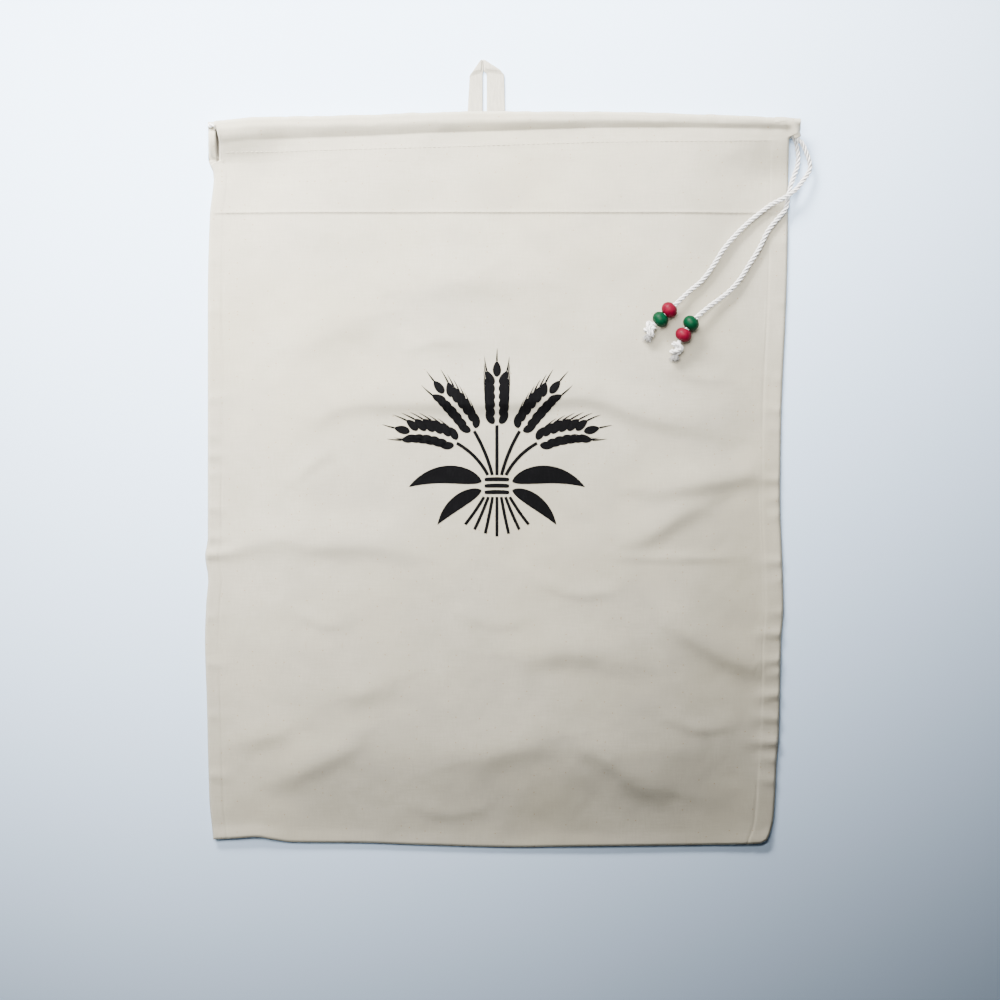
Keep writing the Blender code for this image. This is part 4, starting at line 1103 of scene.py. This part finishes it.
class BREADBAG_OT_cloth(bpy.types.Operator):
    """Build the sewn cloth with its casings as one closed mesh"""

    bl_idname = "breadbag.cloth"
    bl_label = "Bag cloth"

    columns = 76
    rows = 96
    roll_steps = 24

    def execute(self, context):
        finish = cotton_finish("natural_cotton", tuple(context.scene.bread_bag_cloth.cloth_colour))
        points, faces, uv = self.shell()
        piece = new_piece("bag_cloth", points, faces, finish, uv, recalculate=True)
        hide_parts("bag_body")
        self.sleeves(finish)
        return {"FINISHED"}

    def plan(self, columns, rows, inset=0.0, inner=False):
        """Plan position of grid points: x between the sides and y between the fold and the casing."""
        fold_middle, casing_middle = along(0.0, BOTTOM_EDGE), along(0.0, CASING_LINE)
        share, up = np.meshgrid(columns / columns[-1], rows)
        guide = share * 354.0 - 180.0
        hem, whole = HEM_STITCH_Y - fold_middle, casing_middle - fold_middle
        for _ in range(3):
            fold, casing = along(guide, BOTTOM_EDGE), along(guide, CASING_LINE)
            lower = fold + (HEM_STITCH_Y - fold) * up / hem
            upper = HEM_STITCH_Y + (casing - HEM_STITCH_Y) * (up - hem) / (whole - hem)
            y = np.where(up < hem, lower, upper)
            left, right = along(y, LEFT_EDGE), along(y, RIGHT_EDGE)
            guide = left + (right - left) * share
        if inner:
            left = left + SEAM_INSET * (1 - smooth_step((y - LEFT_SEAM_TOP) / SEAM_END))
            right = right - SEAM_INSET * (1 - smooth_step((y - RIGHT_SEAM_TOP) / SEAM_END))
            y = np.maximum(y, along(guide, BOTTOM_EDGE) + SEAM_INSET)
        left = left + inset * along(y, SLIT_INSET)
        last_tenth = smooth_step(10.0 * share - 9.0)
        return left + (right - left) * share + inset * along(y, CASING_TAB) * last_tenth, y

    def shell(self):
        """The cloth's closed surface: outer front and its roll, outer back and its roll, and both insides."""
        hem = HEM_STITCH_Y - along(0.0, BOTTOM_EDGE)
        whole = along(0.0, CASING_LINE) - along(0.0, BOTTOM_EDGE)
        fine_columns = crowded(350.0, 3 * self.columns, (0.0, 3.5, 10.0, 338.0, 350.0), 4.0, 5.0)
        fine_rows = crowded(whole, 3 * self.rows, (0.0, hem, whole - 26.0, whole - 8.0), 3.0, 3.0)
        coarse_columns, coarse_rows = fine_columns[::3], fine_rows[::3]

        x, y = self.plan(fine_columns, fine_rows, inset=1.0)
        bare_x, _ = self.plan(fine_columns, fine_rows)
        top = outside_front(x, y) - rounded_edge(edge_distance(bare_x, y)) + bottom_hang(x, y)
        front = np.dstack((x, y, top))
        front_uv = np.dstack((bare_x, y))
        roll, roll_uv = self.front_roll(front, front_uv)

        x, y = self.plan(coarse_columns, coarse_rows)
        ridge = slit_ridge(x, y)
        under = underside_lift(x, y) + rounded_edge(edge_distance(x, y)) + bottom_hang(x, y) + ridge
        back = np.dstack((x, y, under))
        back_roll = self.back_roll(back)

        x, y = self.plan(coarse_columns, coarse_rows, inset=1.0, inner=True)
        y[-1] = along(x[-1], CASING_LINE) - 0.5 * ROLL_RADIUS
        inner_front = np.dstack((x, y, np.maximum(inside_front(x, y), inside_back(x, y) + 0.05)))
        x, y = self.plan(coarse_columns, coarse_rows, inner=True)
        y[-1] = along(x[-1], CASING_LINE) - 0.5 * BACK_ROLL_RADIUS
        inner_back = np.dstack((x, y, inside_back(x, y) + ridge))
        back_and_roll = np.vstack((back, back_roll))
        grids = [np.vstack((front, roll)), back_and_roll, inner_front, inner_back]
        maps = [np.vstack((front_uv, roll_uv)), back_and_roll[..., :2] * (1, -1), inner_front[..., :2],
                inner_back[..., :2] * (1, -1) - (0, INSIDE_MAP)]
        starts = np.cumsum([0] + [grid.shape[0] * grid.shape[1] for grid in grids])
        ids = [np.arange(start, end).reshape(grid.shape[:2])
               for grid, start, end in zip(grids, starts[:-1], starts[1:])]
        faces = [face for index in ids for face in grid_faces(index).tolist()]
        faces += self.joints(*ids, coarse_rows)
        points = np.vstack([grid.reshape(-1, 3) for grid in grids])
        uv = np.vstack([grid.reshape(-1, 2) for grid in maps])
        return points, faces, uv

    def front_roll(self, front, front_uv):
        """Rows that carry the front over its roll: an arc round the casing's line from its crest."""
        x = front[-1, :, 0]
        centre_y = along(x, CASING_LINE)
        centre_z = INSIDE_HEIGHT - ROLL_SINK + ROLL_RADIUS + mouth_lift(x)
        drop = 0.35 * smooth_step((x - ELBOW_START_X - 8.0) / 9.0)
        ripple = unevenness(x, 0 * x, ROLL_WAVES)
        shrunk = 1 - 0.35 * drop
        angles = np.radians(np.linspace(90.0, 300.0, self.roll_steps + 1))[1:, None]
        radius = (ROLL_RADIUS + ripple * np.sin(0.86 * (angles - math.pi / 2))) * shrunk
        centre_z = centre_z - 0.35 * ROLL_RADIUS * drop
        z = centre_z + radius * np.sin(angles)
        y = centre_y - 1.6 * drop - radius * np.cos(angles)
        rows = np.dstack((np.broadcast_to(x, z.shape), y, z))
        front[-1, :, 2] = centre_z + ROLL_RADIUS * shrunk
        front[-1, :, 1] -= 1.6 * drop
        uv = np.dstack((np.broadcast_to(x, z.shape), centre_y + ROLL_RADIUS * (angles - math.pi / 2)))
        return rows, uv

    def back_roll(self, back):
        """Rows that carry the back over its roll, from its lowest line round to its top."""
        x = back[-1, :, 0]
        centre_y = along(x, CASING_LINE)
        centre_z = BACK_ROLL_Z + loop_lift(x)
        shrink = smooth_step((x - ELBOW_START_X + 2.0) / 9.0)
        angles = np.radians(np.linspace(-90.0, 120.0, 19))[1:, None]
        radius = BACK_ROLL_RADIUS * (1 - 0.3 * shrink)
        y = centre_y - 1.2 * shrink + radius * np.cos(angles)
        z = centre_z + radius * np.sin(angles)
        return np.dstack((np.broadcast_to(x, z.shape), y, z))

    def joints(self, front, back, inner_front, inner_back, coarse_rows):
        """Faces between the four grids: bottom fold, side seams, slits beside the casings and the mouth."""
        count = self.rows + 1
        faces = zip_faces(front[0], back[0]).tolist()
        faces += grid_faces(np.vstack((inner_front[0], inner_back[0]))).tolist()
        faces += zip_faces(front[-1], inner_front[-1]).tolist()
        faces += grid_faces(np.vstack((back[-1], inner_back[-1]))).tolist()
        height = along(0.0, BOTTOM_EDGE) + coarse_rows
        for column, seam_top in ((0, LEFT_SEAM_TOP), (-1, RIGHT_SEAM_TOP)):
            split = int(np.searchsorted(height, seam_top))
            outer, under = front[:3 * self.rows + 1, column], back[:count, column]
            lining, floor = inner_front[:, column], inner_back[:, column]
            faces += zip_faces(outer[:3 * split + 1], under[:split + 1]).tolist()
            faces += grid_faces(np.column_stack((lining[:split + 1], floor[:split + 1]))).tolist()
            faces += zip_faces(outer[3 * split:], lining[split:]).tolist()
            faces += grid_faces(np.column_stack((under[split:], floor[split:]))).tolist()
            faces.append([outer[3 * split], lining[split], floor[split], under[split]])
            faces.append([*front[3 * self.rows:, column], lining[-1]])
            faces.append([*back[self.rows:, column], floor[-1]])
        return faces

    def sleeves(self, finish):
        """Open ends of both casings: a thick-walled sleeve along the cord's line, with a rounded lip."""
        front, back = front_route(0.8), back_route(0.8)
        stretches = (
            ("front_right", front[front[:, 0] > SLEEVE_START_RIGHT][::-1], ROLL_RADIUS + 0.12, 1.75),
            ("front_left", front[front[:, 0] < SLEEVE_START_LEFT], ROLL_RADIUS - 0.1, 1.8),
            ("back_right", back[back[:, 0] > SLEEVE_START_RIGHT], BACK_ROLL_RADIUS + 0.04, 1.7),
            ("back_left", back[back[:, 0] < SLEEVE_START_LEFT][::-1], BACK_ROLL_RADIUS + 0.04, 1.7),
        )
        angles = full_turn(SLEEVE_SIDES)
        for end, route, outer, inner in stretches:
            line = smooth_line(route, 0.7)
            travel = travelled(line)
            swell = smooth_step(travel / 5.0) * 0.5 + 0.5
            swell = swell * (1 - 0.16 * smooth_step((travel - travel[-1] + 6.0) / 6.0))
            on = travel[:, None]
            gather = 0.10 * np.sin(5 * angles + 0.5 * on) + 0.07 * np.sin(9 * angles - on)
            wall = (outer + gather) * swell[:, None]
            hole = np.full((len(line), SLEEVE_SIDES), inner)
            rings = swept(line, wall, 0 * travel, SLEEVE_SIDES)
            bore = swept(line, hole, 0 * travel, SLEEVE_SIDES)[::-1]
            edge = 0.5 * (rings[-1] + bore[0]) + unit(line[-1] - line[-2]) * LIP_DEPTH
            rings = np.vstack((rings, edge[None], bore))
            indices = np.arange(rings.shape[0] * SLEEVE_SIDES).reshape(-1, SLEEVE_SIDES)
            faces = grid_faces(indices, close_rows=True, close_columns=True)
            u = np.tile(angles * outer, (len(rings), 1)).ravel()
            v = np.repeat(np.concatenate((travel, travel[-1:], travel[::-1])), SLEEVE_SIDES)
            new_piece(f"casing_end_{end}", rings.reshape(-1, 3), faces, finish,
                      np.column_stack((u, v)), recalculate=True)


class BREADBAG_OT_loop(bpy.types.Operator):
    """Build the tape loop with its folded point"""

    bl_idname = "breadbag.loop"
    bl_label = "Hanging loop"

    def execute(self, context):
        finish = tape_finish(tuple(context.scene.bread_bag_cloth.tape_colour))
        points, faces, uv = joined([self.layer(*layer) for layer in LOOP_LAYERS])
        piece = new_piece("tape_loop", points, faces, finish, uv, recalculate=True)
        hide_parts("hanging_loop")
        return {"FINISHED"}

    def layer(self, left, right, low, start, high):
        """One layer of tape: a flattened oval section carried between its two borders.

        Round the section the place across goes as a steep cosine and the height as a flat sine, so the
        faces are level and the edges rounded; both ends close with a flat face.
        """
        count, sides = 48, 28
        spread = np.linspace(0.0, 1.0, count)
        borders = []
        for border in (np.array(left), np.array(right)):
            travel = travelled(border)
            borders.append(np.column_stack([np.interp(spread * travel[-1], travel, c) for c in border.T]))
        left, right = borders
        angles = full_turn(sides)
        across = np.sign(np.cos(angles)) * np.abs(np.cos(angles)) ** 0.5
        height = np.sign(np.sin(angles)) * np.abs(np.sin(angles)) ** 0.3
        middle, half = 0.5 * (left + right), 0.5 * (right - left)
        plan = middle[:, None] + across[None, :, None] * half[:, None]
        top = start + (high - start) * smooth_step(spread / 0.35)[:, None]
        z = 0.5 * (low + top) + 0.5 * (top - low) * height
        crease = 0.16 * np.exp(-(((plan[..., 0] + 4.4) / 0.7) ** 2))
        z += (0.05 * soft_noise(plan[..., 0], plan[..., 1], 5.0, 31) - crease) * (height > 0)
        points = np.dstack((plan, z)).reshape(-1, 3)
        indices = np.arange(len(points)).reshape(count, sides)
        ends = [indices[0].tolist(), indices[-1][::-1].tolist()]
        return points, grid_faces(indices, close_columns=True).tolist() + ends, points[:, :2]


class BREADBAG_OT_stitches(bpy.types.Operator):
    """Sew the lines of stitches along the hem and below the casings"""

    bl_idname = "breadbag.stitches"
    bl_label = "Stitches"

    def execute(self, context):
        finish = Finish("sewing_thread", 0.8, Sheen_Weight=0.1)
        colour = tuple(context.scene.bread_bag_cloth.cloth_colour)
        tone = finish.noise(finish.place(), 900.0, 2.0)
        finish.paint(finish.mix(tone, shaded(colour, 0.85), shaded(colour, 1.08)))
        x = np.arange(-168.0, 164.0, 3.0)
        leg = np.arange(-20.5, -0.5, 2.6)
        leg = leg[(leg < -14.5) | (leg > -9.5)]
        points, faces, _ = joined((
            self.row(x, 0 * x + HEM_STITCH_Y + STITCH_OFFSET, outside_front, 0.06),
            self.row(x, np.interp(x, *zip(*CASING_STITCH)), outside_front, 0.06),
            self.row(leg, 0 * leg + 189.0, lambda x, y: 0.0 * x + 0.45, -0.05, 2.0),
        ))
        new_piece("stitches", points, faces, finish.material, recalculate=True)
        return {"FINISHED"}

    def row(self, x, y, surface, above, length=2.5):
        """A row of stitches: each is a thread that dips into the cloth at both ends of its arc."""
        s = np.linspace(-1.0, 1.0, 6)
        angles = full_turn(6)
        centre_x = x[:, None] + 0.5 * length * s
        centre_y = y[:, None] + np.gradient(y, x)[:, None] * 0.5 * length * s
        ground = surface(centre_x, centre_y)
        centre_z = ground + above - 0.3 * np.abs(s) ** 4
        thick = 0.19 * (1 - 0.35 * s**4)
        points = np.stack((
            np.broadcast_to(centre_x[..., None], centre_x.shape + (6,)),
            centre_y[..., None] + thick[None, :, None] * np.cos(angles),
            centre_z[..., None] + thick[None, :, None] * np.sin(angles),
        ), axis=-1)
        index = np.arange(points[..., 0].size).reshape(len(x), 6, 6)
        around = np.roll(index, -1, axis=2)
        quads = np.stack((index[:, :-1], index[:, 1:], around[:, 1:], around[:, :-1]), axis=-1).reshape(-1, 4)
        ends = [index[:, end][:, half] for half in ((0, 1, 2, 3), (3, 4, 5, 0)) for end in (0, -1)]
        points = points.reshape(-1, 3)
        return points, np.vstack([quads] + ends).tolist(), points[:, :2]


class BREADBAG_OT_print(bpy.types.Operator):
    """Print a plain sheaf of wheat ears on the front"""

    bl_idname = "breadbag.sheaf"
    bl_label = "Printed sheaf"

    def execute(self, context):
        finish = ink_finish(tuple(context.scene.bread_bag_cloth.ink_colour))
        shapes = np.array(self.ears() + self.straws() + self.leaves() + self.band())
        points, faces, uv = self.film(shapes)
        piece = new_piece("printed_sheaf", points, faces, finish, uv, recalculate=True,
                          smooth=False)
        piece.modifiers.new("film", "SOLIDIFY").thickness = 0.00004
        return {"FINISHED"}

    def bent(self, start, lean, length, curl, width, root, tip):
        """One strip as (start, bend point, end, width, root power, tip power)."""
        start = np.array(start, float)
        bend = start + leaning(lean) * length / 2
        return (*start, *bend, *(bend + leaning(lean + curl) * length / 2), width, root, tip)

    def ears(self):
        """Five ears on leaning stalks: grains in pairs, one grain at the tip, and a bristle on each."""
        shapes = []
        for lean, stalk in zip(EAR_LEANS, EAR_STALKS):
            root = (SHEAF_CENTRE[0] + 0.09 * lean, SHEAF_CENTRE[1] + BAND_REACH)
            shapes.append(self.bent(root, 0.45 * lean, stalk - BAND_REACH, 0.55 * lean, STALK_WIDTH,
                                    0.02, 0.02))
            base = np.array(shapes[-1][4:6])
            for pair in range(GRAIN_PAIRS):
                bow = lean * (1 + 0.05 * pair)
                ahead = leaning(bow)
                spot = base + ahead * GRAIN_STEP * (pair + 0.2)
                size = 1.0 - 0.05 * abs(pair - 2.5)
                for side in (-1, 1):
                    tilt = bow + side * 27.0
                    root = spot + np.array((ahead[1], -ahead[0])) * side * 1.7
                    shapes.append(self.bent(root, tilt + side * 14, GRAIN_LENGTH * size, -side * 24,
                                            GRAIN_WIDTH * size, 0.55, 0.75))
                    tip = shapes[-1][4:6]
                    shapes.append(self.bent(tip, bow + side * 13, 9.0, -side * 8, BRISTLE_WIDTH, 0.02, 0.8))
            top = base + ahead * GRAIN_STEP * (GRAIN_PAIRS + 0.1)
            shapes.append(self.bent(top, bow, GRAIN_LENGTH * 0.9, 0, GRAIN_WIDTH * 0.9, 0.55, 0.75))
            shapes.append(self.bent(shapes[-1][4:6], bow, 8.0, 4, BRISTLE_WIDTH, 0.02, 0.8))
        return shapes

    def straws(self):
        """Cut stalks below the binding."""
        x, y = SHEAF_CENTRE
        return [self.bent((x + 0.26 * lean, y - BAND_REACH), 180.0 - lean, STRAW_LENGTH - 0.12 * abs(lean),
                          -0.3 * lean, STRAW_WIDTH, 0.02, 0.02)
                for lean in STRAW_LEANS]

    def leaves(self):
        """Long leaves that arch out of the binding to both sides."""
        x, y = SHEAF_CENTRE
        return [self.bent((x + 9.4 * side, y + up), side * lean, length, side * curl, width, 0.6, 0.9)
                for side in (-1, 1)
                for up, lean, length, curl, width in ((2.6, 66, 50, 56, 11.0), (-2.6, 108, 36, 40, 8.5))]

    def band(self):
        """The tie round the sheaf."""
        x, y = SHEAF_CENTRE
        return [self.bent((x - 7.5, y + shift), 86.0, 15.0, 8.0, 2.6, 0.12, 0.12) for shift in (-3.9, 0.0, 3.9)]

    def film(self, shapes):
        """Thin flat strips on the cloth: each is a bent line whose width rises and falls along it.

        The line is start, bend point and end blended by squares of its share t, and the half width goes
        with t to the root power times (1 - t) to the tip power.
        """
        t = np.linspace(0.0, 1.0, 25)
        s = np.array((-1.0, -0.5, 0.0, 0.5, 1.0))
        start, bend, end = shapes[:, None, 0:2], shapes[:, None, 2:4], shapes[:, None, 4:6]
        width, root, tip = shapes[:, 6:7], shapes[:, 7:8], shapes[:, 8:9]
        u = t[None, :, None]
        line = start * (1 - u) ** 2 + 2 * bend * u * (1 - u) + end * u**2
        heading = unit((bend - start) * (1 - u) + (end - bend) * u)
        inner = np.clip(t, 0.004, 0.996)
        peak = root / (root + tip)
        shape = (inner / peak) ** root * ((1 - inner) / (1 - peak)) ** tip
        across = np.stack((heading[..., 1], -heading[..., 0]), axis=-1)
        half_width = (0.5 * width * shape)[:, :, None, None] * s[:, None]
        plan = line[:, :, None] + across[:, :, None] * half_width
        z = outside_front(plan[..., 0], plan[..., 1]) + INK_ABOVE
        points = np.concatenate((plan, z[..., None]), axis=-1)
        index = np.arange(z.size).reshape(z.shape)
        corners = (index[:, :-1, :-1], index[:, 1:, :-1], index[:, 1:, 1:], index[:, :-1, 1:])
        faces = np.stack(corners, axis=-1).reshape(-1, 4)
        points = points.reshape(-1, 3)
        return points, faces, points[:, :2]


class BREADBAG_PT_panel(bpy.types.Panel):
    """Lists the bag's pieces and their sizes and colours"""

    bl_label = "Bread bag"
    bl_idname = "BREADBAG_PT_panel"
    bl_space_type = "VIEW_3D"
    bl_region_type = "UI"
    bl_category = "Bread bag"

    def draw(self, context):
        for name, group in GROUPS:
            box = self.layout.box()
            for field in group.__annotations__:
                box.prop(getattr(context.scene, name), field)
        for operator in OPERATORS:
            self.layout.operator(operator.bl_idname)


GROUPS = (
    ("bread_bag_stage", BreadBagStage),
    ("bread_bag_cord", BreadBagCord),
    ("bread_bag_cloth", BreadBagCloth),
)
OPERATORS = (
    BREADBAG_OT_stage, BREADBAG_OT_cord, BREADBAG_OT_cloth, BREADBAG_OT_loop, BREADBAG_OT_stitches,
    BREADBAG_OT_print,
)


def register():
    """Add the property groups, the operators and the panel."""
    for name, group in GROUPS:
        bpy.utils.register_class(group)
        setattr(bpy.types.Scene, name, PointerProperty(type=group))
    for item in (*OPERATORS, BREADBAG_PT_panel):
        bpy.utils.register_class(item)


def unregister():
    """Take them away again."""
    for item in (BREADBAG_PT_panel, *reversed(OPERATORS)):
        bpy.utils.unregister_class(item)
    for name, group in reversed(GROUPS):
        delattr(bpy.types.Scene, name)
        bpy.utils.unregister_class(group)


def main():
    register()
    for operator in OPERATORS:
        group, name = operator.bl_idname.split(".")
        getattr(getattr(bpy.ops, group), name)()


if __name__ == "__main__":
    main()
